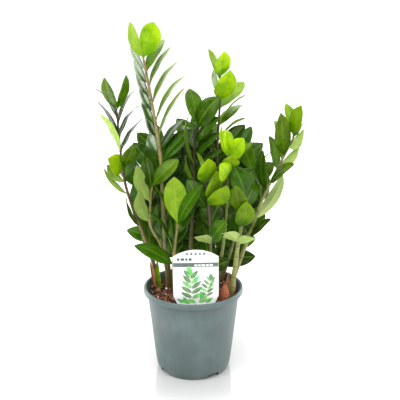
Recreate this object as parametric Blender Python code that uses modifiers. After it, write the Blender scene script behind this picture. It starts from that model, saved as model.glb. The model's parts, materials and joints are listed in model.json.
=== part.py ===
"""A potted zz plant: arching fronds of glossy leaflets in a plastic nursery pot.

The origin is the centre of the pot's underside, +Z is up and -Y is the front, where the label stands.
"""

import math

import bmesh
import bpy
from mathutils import Matrix, Vector
from mathutils.bvhtree import BVHTree

MM = 0.001

# Pot
POT_DIAMETER = 0.170
POT_HEIGHT = 0.150
WALL = 0.0018
LIP_WIDTH = 0.0055
LIP_OVERHANG = 0.0062
LIP_HEIGHT = 0.009
LIP_THICKNESS = 0.0022
LIP_FILLET = 0.0008
FLARE_BLEND = 0.002
WALL_TAPER = 0.0156
CORNER_HEIGHT = 0.018
FOOT_TUCK = 0.0022
FOOT_STEP = 0.0006
FOOT_DRAFT = 0.0004
FLOOR_THICKNESS = 0.0022
CHANNEL_WIDTH = 0.021
CHANNEL_HEIGHT = 0.0075
DISC_SLOPE = 0.002
NOTCH_COUNT = 4
NOTCH_WIDTH = 0.022
NOTCH_DEPTH = 0.010
NOTCH_HEIGHT = 0.007
NOTCH_TURN = math.radians(-55.0)
DRAIN_RADIUS = 0.0045
DRAIN_INSET = 0.0115
POT_SIDES = 48

# Growing medium
SOIL_DROP = 0.009
SOIL_CROWN = 0.0015

# Fronds. CANOPY_HEIGHT is from the soil to the tallest leaf tip.
CANOPY_HEIGHT = 0.456
CANOPY_DRAWN = 0.456
SOIL_RADIUS_DRAWN = 0.077
LEAF_SCALE = 1.0
LEAF_THICKNESS = 0.0016
LEAF_FOLD = 0.22
LEAF_ARCH = 0.05
PETIOLE_WIDTH = 0.0026
PETIOLE_SET = 0.001
STEM_SCALE = 1.0
STEM_SET = 0.030
STEM_POINTS = 11

# Label
LABEL_WIDTH = 0.074
LABEL_SHOULDER = 0.084
LABEL_ARCH = 0.012
LABEL_THICKNESS = 0.0009
LABEL_CHAMFER = 0.007
LABEL_NECK = 0.015
STAKE_WIDTH = 0.022
STAKE_DEPTH = 0.040
STAKE_SHOULDER = 0.006
STAKE_BEVEL_WIDTH = 0.008
STAKE_BEVEL_HEIGHT = 0.012
LABEL_INSET = 0.0155
LABEL_OFFSET = 0.005

# Rhizome, sheaths and young shoot
RHIZOME_PLACE = (0.0525, -0.0400)
RHIZOME_RADIUS = 0.0090
RHIZOME_FLATNESS = 0.85
RHIZOME_NARROWING = 0.35
RHIZOME_HEIGHT = 0.044
RHIZOME_SET = 0.016
SHEATH_SET = 0.012

WELD = 0.00005
SNAP = 0.0000001
CLEARANCE = 0.0003
SHEATH_CLEARANCE = 0.0007
LEAF_MARGIN = 0.0006

RIM_RADIUS = POT_DIAMETER / 2
MOUTH_RADIUS = RIM_RADIUS - LIP_WIDTH
BODY_RADIUS = RIM_RADIUS - LIP_OVERHANG
WALL_FOOT_RADIUS = BODY_RADIUS - WALL_TAPER
FOOT_RADIUS = WALL_FOOT_RADIUS - FOOT_TUCK
DISC_RADIUS = FOOT_RADIUS - CHANNEL_WIDTH
SOIL_TOP = POT_HEIGHT - SOIL_DROP
GROWTH = CANOPY_HEIGHT / CANOPY_DRAWN

# Each frond: name, foot radius and tip radius of its stem in mm, the stem's points in mm (x, y, height above
# the soil) and its rows of leaflets. A row is: where along the stem in percent, how many, heading and climb
# of the leaflet in degrees, its length and width in mm, and the heading that its upper face looks to.
# A pair of values runs from the row's first leaflet to its last.
FRONDS = [
    ("frond_tall_left", 5.0, 1.9,
     [(-42, 25, 0), (-50, 22, 119), (-54, 16, 231), (-64, 8, 311), (-78, 0, 396)],
     [(100, 1, 61, 57, 64, 34, -55),
      (100, 1, -122, 59, 68, 22, 165),
      (94, 1, 66, 36, 80, 24, -125),
      ((88, 66), 4, (56, 24), (45, 60), (84, 94), 22, (-155, -165)),
      (61, 1, 49, 38, 72, 27, -150),
      ((95, 66), 6, (126, 118), (43, 45), 66, 24, (165, 190)),
      (58, 1, 113, 30, 66, 30, -175),
      ((56, 24), 4, (20, 60), (45, 30), 76, 30, -120),
      ((50, 20), 4, (150, 110), (44, 26), 74, 30, -110)]),
    ("frond_left", 4.0, 1.5,
     [(-60, 32, 0), (-67, 28, 29), (-84, 15, 94), (-102, 5, 149), (-115, 0, 209), (-122, -5, 314)],
     [(100, 1, -122, 62, 62, 25, -125),
      (100, 1, -36, 67, 62, 24, -35),
      ((95, 86), 2, (127, 150), (36, 52), 76, 24, (-10, -5)),
      (78, 1, -151, 66, 78, 24, 40),
      ((92, 78), 3, (64, 50), (45, 42), 74, 24, -162),
      (69, 1, -110, 32, 54, 34, -95),
      (70, 1, -55, 58, 58, 25, -60),
      (62, 1, -122, 38, 66, 18, -145),
      (55, 1, -128, 47, 76, 18, -155),
      (36, 1, -125, 59, 72, 22, -160),
      ((62, 46), 2, (80, 60), 46, 66, 28, -100),
      (28, 1, 116, 48, 78, 27, -45),
      ((40, 20), 2, (60, 80), (50, 30), 70, 28, -90)]),
    ("frond_centre", 4.0, 1.6,
     [(-8, 40, 0), (0, 25, 159), (3, 15, 255), (7, 8, 287)],
     [(100, 1, 107, 53, 68, 31, -65),
      (98, 1, -28, 55, 66, 33, -100),
      ((89, 71), 3, (-35, -24), (47, 42), 66, 28, (-140, -165)),
      (75, 1, -129, 75, 108, 26, -180),
      (66, 1, -117, 55, 60, 26, -160),
      ((84, 66), 2, (108, 120), (32, 46), (62, 70), 29, -52),
      ((60, 22), 5, (-8, 5), (44, 30), 70, 30, -95),
      ((54, 18), 5, (160, 140), (44, 28), 70, 30, -90)]),
    ("frond_centre_tall", 4.2, 1.5,
     [(22, 46, 0), (36, 34, 159), (41, 22, 264), (44, 12, 329), (44, 5, 366)],
     [(100, 1, -82, 53, 54, 27, -75),
      (98, 1, -143, 67, 56, 24, -30),
      (92, 1, 110, 49, 52, 20, 175),
      (89, 1, -65, 54, 62, 34, -70),
      (85, 1, 47, 32, 72, 30, -122),
      (77, 1, 47, 29, 66, 29, -138),
      ((78, 70), 2, (30, 38), (42, 30), 68, 24, 170),
      (66, 1, 165, 46, 66, 28, -100),
      ((62, 20), 5, (25, 40), (46, 28), 74, 30, -105),
      ((56, 16), 5, (165, 120), (46, 28), 74, 30, -90)]),
    ("frond_young", 3.4, 1.5,
     [(40, 0, 0), (54, -18, 124), (56, -38, 198), (57, -48, 250)],
     [(100, 1, -122, 73, 46, 22, -55),
      (98, 1, 133, 70, 54, 22, -170),
      (96, 1, -23, 60, 44, 28, -105),
      (92, 1, -78, 40, 40, 26, -80),
      (84, 1, -110, 40, 50, 30, -88),
      (91, 1, 13, 48, 58, 23, -155),
      ((74, 44), 3, (20, 150), 36, 60, 29, -90)]),
    ("frond_right", 4.4, 1.7,
     [(64, 12, 0), (80, 8, 52), (97, 2, 106), (114, -5, 162), (141, -10, 225), (162, -15, 271)],
     [(100, 1, 106, 54, 62, 27, -50),
      (100, 1, -79, 67, 60, 28, -125),
      (98, 1, 41, 56, 46, 20, -175),
      (93, 1, -64, 38, 62, 26, -45),
      (81, 1, -54, 43, 64, 28, -30),
      (70, 1, -48, 44, 64, 26, -160),
      (46, 1, 29, 50, 92, 29, 30),
      (33, 1, -30, 46, 60, 24, -175),
      (88, 1, -107, 66, 84, 27, -80),
      (85, 1, 94, 43, 84, 27, -50),
      (79, 1, 96, 36, 72, 24, 85),
      (64, 1, -127, 76, 76, 28, -140),
      ((56, 34), 2, (80, 60), (46, 40), 66, 28, -90),
      (39, 1, 170, 58, 50, 26, -90)]),
    ("frond_right_rear", 3.6, 1.5,
     [(51, 47, 0), (84, 55, 120), (104, 52, 196)],
     [(100, 1, 150, 64, 60, 28, -95),
      (98, 1, 20, 46, 56, 24, 170),
      ((90, 30), 5, (140, 160), (46, 30), 68, 29, -95),
      ((84, 26), 5, (30, 60), (40, 28), 66, 28, -100)]),
    ("frond_thick", 5.2, 2.2,
     [(64, -27, 0), (71, -30, 63), (74, -32, 94), (80, -35, 136), (86, -38, 178)],
     [(100, 1, -142, 66, 60, 33, -80),
      (88, 1, 60, 46, 66, 26, -50),
      (84, 1, -123, 71, 60, 32, -115),
      (70, 1, -75, 60, 58, 32, -80),
      (62, 1, 130, 52, 56, 27, -90),
      (55, 1, -130, 36, 50, 27, 80),
      (53, 1, -45, 32, 42, 24, 100)]),
    ("frond_front_right", 3.6, 1.5,
     [(27, -24, 0), (29, -26, 84), (28, -30, 128), (25, -34, 165), (19, -38, 203)],
     [(100, 1, -80, 55, 56, 31, -72),
      (98, 1, 135, 71, 54, 20, -20),
      (86, 1, -59, 57, 60, 26, -60),
      (80, 1, -47, 44, 60, 29, -58),
      (76, 1, 150, 48, 62, 28, -90),
      (48, 1, -56, 50, 60, 32, -110),
      (46, 1, -128, 34, 46, 26, 80),
      ((62, 30), 3, (60, 100), (46, 30), 62, 29, -95),
      (24, 1, 5, 24, 36, 22, -70)]),
    ("frond_front_left", 3.6, 2.0,
     [(-32, -4, 0), (-33, -17, 49), (-31, -26, 84), (-25, -32, 130)],
     [(100, 1, -159, 87, 82, 38, 80),
      (99, 1, -20, 59, 86, 29, -135),
      (72, 1, 145, 77, 104, 26, -5),
      (58, 1, -154, 64, 92, 26, 0),
      ((84, 50), 3, (60, 95), (50, 36), 72, 30, -100),
      (41, 1, 147, 28, 74, 29, -40)]),
    ("frond_pale_left", 3.6, 1.6,
     [(-45, 10, 0), (-46, 5, 35), (-54, -3, 81), (-71, -11, 121), (-71, -2, 157), (-68, 5, 184)],
     [(100, 1, 30, 45, 64, 29, -120),
      (86, 1, -142, 67, 74, 28, 160),
      (68, 1, -131, 64, 70, 28, 165),
      (96, 1, 120, 62, 60, 26, -60),
      ((84, 62), 2, (90, 80), (46, 38), 68, 29, -90)]),
    ("frond_rear_left", 4.0, 1.5,
     [(-22, 60, 0), (-38, 84, 119), (-60, 108, 214)],
     [(100, 1, 120, 62, 62, 26, -60),
      ((96, 16), 7, (175, 160), (48, 20), (62, 74), 30, -95),
      ((92, 12), 7, (55, 15), (50, 20), (62, 74), 30, -95)]),
    ("frond_rear_centre", 4.0, 1.5,
     [(6, 64, 0), (10, 92, 124), (6, 122, 234)],
     [(100, 1, 85, 62, 62, 26, -90),
      ((96, 14), 7, (150, 175), (50, 18), (62, 74), 30, -95),
      ((92, 10), 7, (30, 5), (50, 18), (62, 74), 30, -95)]),
    ("frond_rear_right", 4.0, 1.5,
     [(33, 62, 0), (56, 92, 109), (84, 118, 204)],
     [(100, 1, 55, 60, 62, 26, -120),
      ((96, 16), 7, (130, 165), (50, 20), (62, 74), 30, -90),
      ((92, 12), 7, (5, -5), (46, 18), (62, 74), 30, -100)]),
    ("frond_side_left", 3.8, 1.5,
     [(-42, 48, 0), (-64, 70, 99), (-90, 92, 169)],
     [(100, 1, 145, 58, 60, 26, -20),
      ((92, 40), 4, (-175, 175), (40, 30), (58, 64), 28, -60),
      (80, 1, 100, 50, 56, 26, -130)]),
]

# Papery sheaths and the young shoot: name, foot (x, y) in mm, heading, climb, visible length, width, face
BLADES = [
    ("sheath_right", (69, -10), 85, 84, 34, 7.0, -90),
    ("sheath_middle", (58, -17), 60, 82, 40, 6.0, -100),
    ("sheath_left", (-68, 22), 165, 80, 44, 6.0, -80),
    ("young_shoot", (-58, 14), 160, 84, 50, 7.5, -100),
]

# Blade outline: share of the length, share of the width
STATIONS = [(0.0, 0.0), (0.10, 0.22), (0.36, 0.94), (0.70, 0.84)]
SHRINKS = (1.0, 0.88, 0.76, 0.64, 0.52, 0.40)
TURNS = ((0, 0), (8, 0), (-8, 0), (0, 8), (0, -8), (16, 0), (-16, 0), (0, 16), (0, -16),
         (14, 14), (-14, 14), (14, -14), (-14, -14), (26, 0), (-26, 0), (26, 12), (-26, 12), (40, 0), (-40, 0))


# ---------------------------------------------------------------- scene and helpers

def clear_scene():
    for obj in list(bpy.data.objects):
        bpy.data.objects.remove(obj, do_unlink=True)


def make_collection(name):
    collection = bpy.data.collections.new(name)
    bpy.context.scene.collection.children.link(collection)
    return collection


def make_material(name, colour, roughness):
    material = bpy.data.materials.new(name)
    material.use_nodes = True
    shader = material.node_tree.nodes["Principled BSDF"]
    shader.inputs["Base Color"].default_value = (*colour, 1.0)
    shader.inputs["Roughness"].default_value = roughness
    shader.inputs["Metallic"].default_value = 0.0
    return material


def add_object(name, mesh, collection, material=None):
    obj = bpy.data.objects.new(name, mesh)
    collection.objects.link(obj)
    if material:
        mesh.materials.clear()
        mesh.materials.append(material)
    return obj


def evaluated_mesh(obj):
    """The object's mesh with its modifiers, caps welded."""
    graph = bpy.context.evaluated_depsgraph_get()
    mesh = bpy.data.meshes.new_from_object(obj.evaluated_get(graph))
    work = bmesh.new()
    work.from_mesh(mesh)
    bmesh.ops.remove_doubles(work, verts=work.verts, dist=SNAP)
    bmesh.ops.dissolve_degenerate(work, dist=SNAP, edges=work.edges)
    work.to_mesh(mesh)
    work.free()
    return mesh


def boolean(obj, operation, other=None, group=None):
    modifier = obj.modifiers.new(operation.title(), "BOOLEAN")
    modifier.operation = operation
    modifier.solver = "EXACT"
    if group:
        modifier.operand_type = "COLLECTION"
        modifier.collection = group
    else:
        modifier.object = other
    return modifier


def bake_modifiers(obj):
    """Gives the object the mesh that its modifiers make."""
    mesh = evaluated_mesh(obj)
    obj.modifiers.clear()
    obj.data = mesh


def hide_cutter(obj):
    obj.hide_render = True
    obj.display_type = "WIRE"


def turned(name, profile, sides, collection, material=None):
    """A solid of revolution from a profile of (radius, height), ordered down its outer side."""
    mesh = bpy.data.meshes.new(name)
    points = [(radius, 0.0, height) for radius, height in profile]
    mesh.from_pydata(points, [(i, i + 1) for i in range(len(points) - 1)], [])
    obj = add_object(name, mesh, collection, material)
    screw = obj.modifiers.new("Turn", "SCREW")
    screw.axis = "Z"
    screw.steps = sides
    screw.render_steps = sides
    screw.use_merge_vertices = True
    screw.merge_threshold = WELD
    screw.use_smooth_shade = True
    return obj


def shade(obj, degrees=35.0):
    obj.data.shade_smooth()
    obj.data.set_sharp_from_angle(angle=math.radians(degrees))


# ---------------------------------------------------------------- pot and soil

def wall_radius(height):
    """Outer radius of the pot's plain wall at a height."""
    share = min(height / (POT_HEIGHT - LIP_HEIGHT), 1.0)
    radius = WALL_FOOT_RADIUS + (BODY_RADIUS - WALL_FOOT_RADIUS) * share
    tuck = max(CORNER_HEIGHT - height, 0.0) / CORNER_HEIGHT
    return radius - FOOT_TUCK * tuck * tuck


def inner_radius(height):
    """Inner radius of the pot at a height: the wall, then the flare up to the mouth."""
    flare_start = POT_HEIGHT - LIP_HEIGHT
    radius = wall_radius(height) - WALL
    if height > flare_start:
        radius += (MOUTH_RADIUS - radius) * (height - flare_start) / LIP_HEIGHT
    return radius


def ground_scale():
    """How much wider the soil is than the one that the plant was drawn in."""
    return inner_radius(SOIL_TOP) / SOIL_RADIUS_DRAWN


def rim_arc(centre, radius, start, end, steps=5):
    angles = [math.radians(start + (end - start) * i / steps) for i in range(steps + 1)]
    return [(centre[0] + radius * math.cos(a), centre[1] + radius * math.sin(a)) for a in angles]


def pot_profile():
    lip = RIM_RADIUS
    roll = LIP_WIDTH / 2
    crown = (lip - roll, POT_HEIGHT - roll)
    flare = POT_HEIGHT - LIP_HEIGHT
    under = CHANNEL_HEIGHT
    top = under + FLOOR_THICKNESS
    channel = FOOT_RADIUS - FOOT_STEP - WALL
    return [
        (0.0, FLOOR_THICKNESS),
        (DISC_RADIUS, FLOOR_THICKNESS),
        (DISC_RADIUS + DISC_SLOPE, top),
        (inner_radius(top), top),
        (inner_radius(CORNER_HEIGHT), CORNER_HEIGHT),
        (inner_radius(flare), flare),
        *rim_arc(crown, roll, 180.0, 0.0, 6),
        (lip, POT_HEIGHT - LIP_HEIGHT),
        (lip - LIP_THICKNESS, POT_HEIGHT - LIP_HEIGHT),
        (lip - LIP_THICKNESS, POT_HEIGHT - LIP_THICKNESS - roll),
        (BODY_RADIUS + LIP_FILLET, POT_HEIGHT - LIP_THICKNESS - roll),
        (BODY_RADIUS, flare - FLARE_BLEND),
        (wall_radius(CORNER_HEIGHT), CORNER_HEIGHT),
        (wall_radius(0.65 * CORNER_HEIGHT), 0.65 * CORNER_HEIGHT),
        (wall_radius(under + FOOT_STEP), under + FOOT_STEP),
        (FOOT_RADIUS - FOOT_STEP, under),
        (FOOT_RADIUS - FOOT_STEP - FOOT_DRAFT, 0.0),
        (channel - FOOT_DRAFT, 0.0),
        (channel, under),
        (DISC_RADIUS + 2 * DISC_SLOPE, under),
        (DISC_RADIUS + DISC_SLOPE, 0.0),
        (0.0, 0.0),
    ]


def drain_cutter(turn, cutters):
    """The notch through the foot and the drain hole behind it, at one heading."""
    work = bmesh.new()
    notch = Matrix.Translation((FOOT_RADIUS, 0.0, 0.0)) @ Matrix.Diagonal(
        (NOTCH_DEPTH, NOTCH_WIDTH, 2 * NOTCH_HEIGHT, 1.0))
    bmesh.ops.create_cube(work, size=1.0, matrix=Matrix.Rotation(turn, 4, "Z") @ notch)
    mesh = bpy.data.meshes.new("notch")
    work.to_mesh(mesh)
    work.free()
    hole = bmesh.new()
    place = Matrix.Translation((FOOT_RADIUS - DRAIN_INSET, 0.0, CHANNEL_HEIGHT))
    bmesh.ops.create_cone(hole, cap_ends=True, segments=14, radius1=DRAIN_RADIUS, radius2=DRAIN_RADIUS,
                          depth=4 * FLOOR_THICKNESS, matrix=Matrix.Rotation(turn, 4, "Z") @ place)
    drain = bpy.data.meshes.new("drain")
    hole.to_mesh(drain)
    hole.free()
    cutters_made = [add_object("notch_cutter", mesh, cutters), add_object("drain_cutter", drain, cutters)]
    for cutter in cutters_made:
        hide_cutter(cutter)
    return cutters_made


def build_pot(parts, cutters, material):
    pot = turned("pot", pot_profile(), POT_SIDES, parts, material)
    for i in range(NOTCH_COUNT):
        for cutter in drain_cutter(NOTCH_TURN + i * math.tau / NOTCH_COUNT, cutters):
            boolean(pot, "DIFFERENCE", cutter)
    bake_modifiers(pot)
    shade(pot)
    return pot


def soil_profile():
    floor = CHANNEL_HEIGHT + FLOOR_THICKNESS + CLEARANCE
    disc = FLOOR_THICKNESS + CLEARANCE
    return [
        (0.0, SOIL_TOP),
        (0.6 * inner_radius(SOIL_TOP), SOIL_TOP),
        (0.9 * inner_radius(SOIL_TOP), SOIL_TOP - SOIL_CROWN),
        (inner_radius(SOIL_TOP - 2 * SOIL_CROWN) - CLEARANCE, SOIL_TOP - 2 * SOIL_CROWN),
        (inner_radius(CORNER_HEIGHT) - CLEARANCE, CORNER_HEIGHT),
        (inner_radius(floor) - CLEARANCE, floor),
        (DISC_RADIUS + DISC_SLOPE - CLEARANCE, floor),
        (DISC_RADIUS - CLEARANCE, disc),
        (0.0, disc),
    ]


# ---------------------------------------------------------------- label

def label_outline(grow):
    """Card with an arched top, chamfered into a stake; grow widens it all round."""
    half = LABEL_WIDTH / 2 + grow
    foot = SOIL_TOP
    shoulder = foot + LABEL_SHOULDER
    radius = (half * half + LABEL_ARCH * LABEL_ARCH) / (2 * LABEL_ARCH)
    centre = shoulder + LABEL_ARCH - radius
    spread = math.asin(half / radius)
    arch = []
    for i in range(13):
        angle = spread * (1 - i / 6)
        arch.append((radius * math.sin(angle), centre + radius * math.cos(angle)))
    stake = STAKE_WIDTH / 2 + grow
    tip = foot - STAKE_DEPTH - grow
    neck = foot + LABEL_NECK
    return arch + [
        (-half, neck),
        (-half + LABEL_CHAMFER, foot),
        (-stake, foot - STAKE_SHOULDER - grow),
        (-stake, tip + STAKE_BEVEL_HEIGHT),
        (-stake + STAKE_BEVEL_WIDTH, tip),
        (stake - STAKE_BEVEL_WIDTH, tip),
        (stake, tip + STAKE_BEVEL_HEIGHT),
        (stake, foot - STAKE_SHOULDER - grow),
        (half - LABEL_CHAMFER, foot),
        (half, neck),
    ]


def build_label(name, grow, collection, material=None):
    curve = bpy.data.curves.new(name, "CURVE")
    curve.dimensions = "2D"
    curve.fill_mode = "BOTH"
    curve.extrude = LABEL_THICKNESS / 2 + grow
    outline = label_outline(grow)
    spline = curve.splines.new("POLY")
    spline.points.add(len(outline) - 1)
    for point, (x, z) in zip(spline.points, outline):
        point.co = (x, z, 0.0, 1.0)
    spline.use_cyclic_u = True
    flat = bpy.data.objects.new(name, curve)
    collection.objects.link(flat)
    mesh = evaluated_mesh(flat)
    bpy.data.objects.remove(flat, do_unlink=True)
    front = -(inner_radius(SOIL_TOP) - LABEL_INSET)
    mesh.transform(Matrix.Translation((LABEL_OFFSET, front, 0.0)) @ Matrix.Rotation(math.pi / 2, 4, "X"))
    return add_object(name, mesh, collection, material)


# ---------------------------------------------------------------- stems

def stem_points(frond):
    """The stem's own points in metres, placed on the soil and stretched with the canopy."""
    _, _, _, points, _ = frond
    foot = Vector(points[0]) * MM
    scale = ground_scale()
    placed = []
    for point in points:
        grown = foot + (Vector(point) * MM - foot) * GROWTH
        placed.append(Vector((grown.x * scale, grown.y * scale, SOIL_TOP + grown.z)))
    return placed


def smooth_curve(points, count):
    """Points spread evenly along a Catmull-Rom curve."""
    fine = []
    for i in range(len(points) - 1):
        a = points[max(i - 1, 0)]
        b, c = points[i], points[i + 1]
        d = points[min(i + 2, len(points) - 1)]
        for k in range(16):
            t = k / 16
            fine.append(0.5 * (2 * b + (c - a) * t + (2 * a - 5 * b + 4 * c - d) * t * t
                               + (3 * b - 3 * c + d - a) * t * t * t))
    fine.append(points[-1].copy())
    run = [0.0]
    for before, after in zip(fine, fine[1:]):
        run.append(run[-1] + (after - before).length)
    spaced = []
    at = 0
    for i in range(count):
        goal = run[-1] * i / (count - 1)
        while at < len(run) - 2 and run[at + 1] < goal:
            at += 1
        share = (goal - run[at]) / max(run[at + 1] - run[at], 1e-9)
        spaced.append(fine[at].lerp(fine[at + 1], share))
    return spaced


def stem_radius(frond, share):
    """Radius at a share of the stem's length: a swollen foot, then an even taper."""
    scale = MM * STEM_SCALE * min(ground_scale(), 1.0)
    foot, tip = frond[1] * scale, frond[2] * scale
    return tip + (foot - tip) * (1 - share) ** 1.4


def stem_mesh(frond, grow=0.0):
    """The stem as a closed tube that stands in the soil."""
    path = smooth_curve(stem_points(frond), STEM_POINTS)
    radii = [stem_radius(frond, i / (STEM_POINTS - 1)) for i in range(STEM_POINTS)]
    narrowing = inner_radius(SOIL_TOP - STEM_SET) / inner_radius(SOIL_TOP)
    sunk = Vector((path[0].x * narrowing, path[0].y * narrowing, path[0].z - STEM_SET - grow))
    path = [sunk, sunk.lerp(path[0], 0.6)] + path
    radii = [radii[0] * 0.7, radii[0]] + radii
    curve = bpy.data.curves.new("stem", "CURVE")
    curve.dimensions = "3D"
    curve.bevel_depth = 1.0
    curve.bevel_resolution = 2
    curve.use_fill_caps = True
    spline = curve.splines.new("POLY")
    spline.points.add(len(path) - 1)
    for point, place, radius in zip(spline.points, path, radii):
        point.co = (*place, 1.0)
        point.radius = radius + grow
    guide = bpy.data.objects.new("stem", curve)
    bpy.context.scene.collection.objects.link(guide)
    mesh = evaluated_mesh(guide)
    bpy.data.objects.remove(guide, do_unlink=True)
    return mesh


# ---------------------------------------------------------------- leaflets

def blade_frame(heading, climb, face):
    """Axes of a blade: across, along and out of its upper face."""
    heading, climb, face = (math.radians(a) for a in (heading, climb, face))
    level = math.cos(climb)
    along = Vector((math.cos(heading) * level, math.sin(heading) * level, math.sin(climb)))
    lift = math.radians(30.0)
    guide = Vector((math.cos(face) * math.cos(lift), math.sin(face) * math.cos(lift), math.sin(lift)))
    out = (guide - along * guide.dot(along)).normalized()
    return along.cross(out), along, out


def blade_points(base, frame, length, width, thickness, first=0, grow=0.0):
    """Rings of four points along the blade, folded at the midrib and arched, then the tip."""
    across, along, out = frame
    rings = []
    for share, broad in STATIONS[first:]:
        half = max(width * broad, PETIOLE_WIDTH) / 2 + grow
        rise = LEAF_ARCH * length * 4 * share * (1 - share)
        deep = thickness / 2 + grow
        lifted = LEAF_FOLD * half * broad
        middle = base + along * (share * length) + out * rise
        rings.append([
            middle - across * half + out * lifted,
            middle - out * deep,
            middle + across * half + out * lifted,
            middle + out * deep,
        ])
    return rings, base + along * (length + grow)


def blade_faces(rings):
    """Quads between the rings, a cap at the foot and a fan to the tip."""
    faces = [(3, 2, 1, 0)]
    for k in range(len(rings) - 1):
        for i in range(4):
            j = (i + 1) % 4
            faces.append((4 * k + i, 4 * k + j, 4 * k + 4 + j, 4 * k + 4 + i))
    last = 4 * (len(rings) - 1)
    tip = last + 4
    for i in range(4):
        faces.append((last + i, last + (i + 1) % 4, tip))
    return faces


def blade_shape(*args, **keys):
    rings, tip = blade_points(*args, **keys)
    return [point for ring in rings for point in ring] + [tip], blade_faces(rings)


def blade_mesh(name, points, faces):
    mesh = bpy.data.meshes.new(name)
    mesh.from_pydata([tuple(p) for p in points], [], faces)
    work = bmesh.new()
    work.from_mesh(mesh)
    bmesh.ops.triangulate(work, faces=work.faces)
    bmesh.ops.recalc_face_normals(work, faces=work.faces)
    work.to_mesh(mesh)
    work.free()
    return mesh


def between(value, share):
    """A single value, or the value at a share of the way along a pair."""
    if isinstance(value, tuple):
        return value[0] + (value[1] - value[0]) * share
    return value


def row_leaves(row):
    """The leaflets of a row: where, heading, climb, length, width, face."""
    where, count, heading, climb, length, width, face = row
    for i in range(count):
        share = i / max(count - 1, 1)
        yield tuple(between(v, share) for v in (where, heading, climb, length, width, face))


class Crowd:
    """What is placed already, so that each new leaflet finds a clear place."""

    def __init__(self):
        self.items = []

    def add(self, points, faces, owner):
        low = Vector(min(p[i] for p in points) for i in range(3))
        high = Vector(max(p[i] for p in points) for i in range(3))
        self.items.append((low, high, BVHTree.FromPolygons(points, faces), owner))

    def add_mesh(self, mesh, owner):
        self.add([v.co.copy() for v in mesh.vertices], [tuple(p.vertices) for p in mesh.polygons], owner)

    def clear_of(self, whole, blade, frond_name):
        """The whole leaflet is clear of other pieces, and its blade of its own frond's leaflets."""
        points = whole[0]
        low = [min(p[i] for p in points) for i in range(3)]
        high = [max(p[i] for p in points) for i in range(3)]
        whole_tree = BVHTree.FromPolygons(*whole)
        blade_tree = BVHTree.FromPolygons(*blade)
        for box_low, box_high, other, owner in self.items:
            if owner == frond_name + " stem":
                continue
            if any(low[i] > box_high[i] or high[i] < box_low[i] for i in range(3)):
                continue
            if other.overlap(blade_tree if owner == frond_name else whole_tree):
                return False
        return True


def place_leaf(crowd, frond, path, leaf):
    """Turns a leaflet a little, or makes it smaller, until it is clear of all that is placed."""
    where, heading, climb, length, width, face = leaf
    spot = where / 100 * (len(path) - 1)
    low = min(int(spot), len(path) - 2)
    base = path[low].lerp(path[low + 1], spot - low)
    for shrink in SHRINKS:
        long = length * MM * LEAF_SCALE * shrink
        wide = width * MM * LEAF_SCALE * shrink
        for turn, tilt in TURNS:
            frame = blade_frame(heading + turn, climb + tilt, face)
            whole = blade_shape(base, frame, long, wide, LEAF_THICKNESS, grow=LEAF_MARGIN)
            blade = blade_shape(base, frame, long, wide, LEAF_THICKNESS, first=2)
            if crowd.clear_of(whole, blade, frond[0]):
                crowd.add(*blade_shape(base, frame, long, wide, LEAF_THICKNESS, first=1), frond[0])
                return base, frame, long, wide
    return None


def build_frond(frond, leaves, parts, cutters, material):
    """The stem with its leaflets joined to it: one grown piece."""
    frond_object = add_object(frond[0], stem_mesh(frond), parts, material)
    group = bpy.data.collections.new(frond[0] + "_leaflets")
    cutters.children.link(group)
    for base, frame, length, width in leaves:
        points, faces = blade_shape(base, frame, length, width, LEAF_THICKNESS)
        points[:4] = [point - frame[1] * PETIOLE_SET for point in points[:4]]
        add_object("leaflet", blade_mesh("leaflet", points, faces), group)
    boolean(frond_object, "UNION", group=group)
    bake_modifiers(frond_object)
    for leaflet in list(group.objects):
        bpy.data.objects.remove(leaflet, do_unlink=True)
    bpy.data.collections.remove(group)
    shade(frond_object)
    return frond_object


# ---------------------------------------------------------------- rhizome, sheaths and shoot

def rhizome_mesh(grow=0.0):
    """The top of the tuber at the foot of the thick stem: an egg that narrows upwards."""
    scale = ground_scale()
    radius = RHIZOME_RADIUS * min(scale, 1.0)
    work = bmesh.new()
    bmesh.ops.create_uvsphere(work, u_segments=16, v_segments=10, radius=1.0)
    for vert in work.verts:
        narrow = 1.0 - RHIZOME_NARROWING * max(vert.co.z, 0.0)
        vert.co.x *= (radius + grow) * narrow
        vert.co.y *= (radius * RHIZOME_FLATNESS + grow) * narrow
        vert.co.z *= RHIZOME_HEIGHT / 2 + grow
    height = SOIL_TOP + RHIZOME_HEIGHT / 2 - RHIZOME_SET
    place = (RHIZOME_PLACE[0] * scale, RHIZOME_PLACE[1] * scale, height)
    bmesh.ops.translate(work, verts=work.verts, vec=place)
    mesh = bpy.data.meshes.new("rhizome")
    work.to_mesh(mesh)
    work.free()
    return mesh


def narrow_blade(blade, grow=0.0):
    """A sheath or shoot that stands in the soil."""
    _, (x, y), heading, climb, length, width, face = blade
    scale = ground_scale()
    across, along, out = blade_frame(heading, climb, face)
    base = Vector((x * MM * scale, y * MM * scale, SOIL_TOP)) - along * (SHEATH_SET + grow)
    full = length * MM + SHEATH_SET + grow
    wide = width * MM * min(scale, 1.0)
    points, faces = blade_shape(base, (across, along, out), full, wide, LEAF_THICKNESS, grow=grow)
    return blade_mesh(blade[0], points, faces)


# ---------------------------------------------------------------- the whole plant

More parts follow.
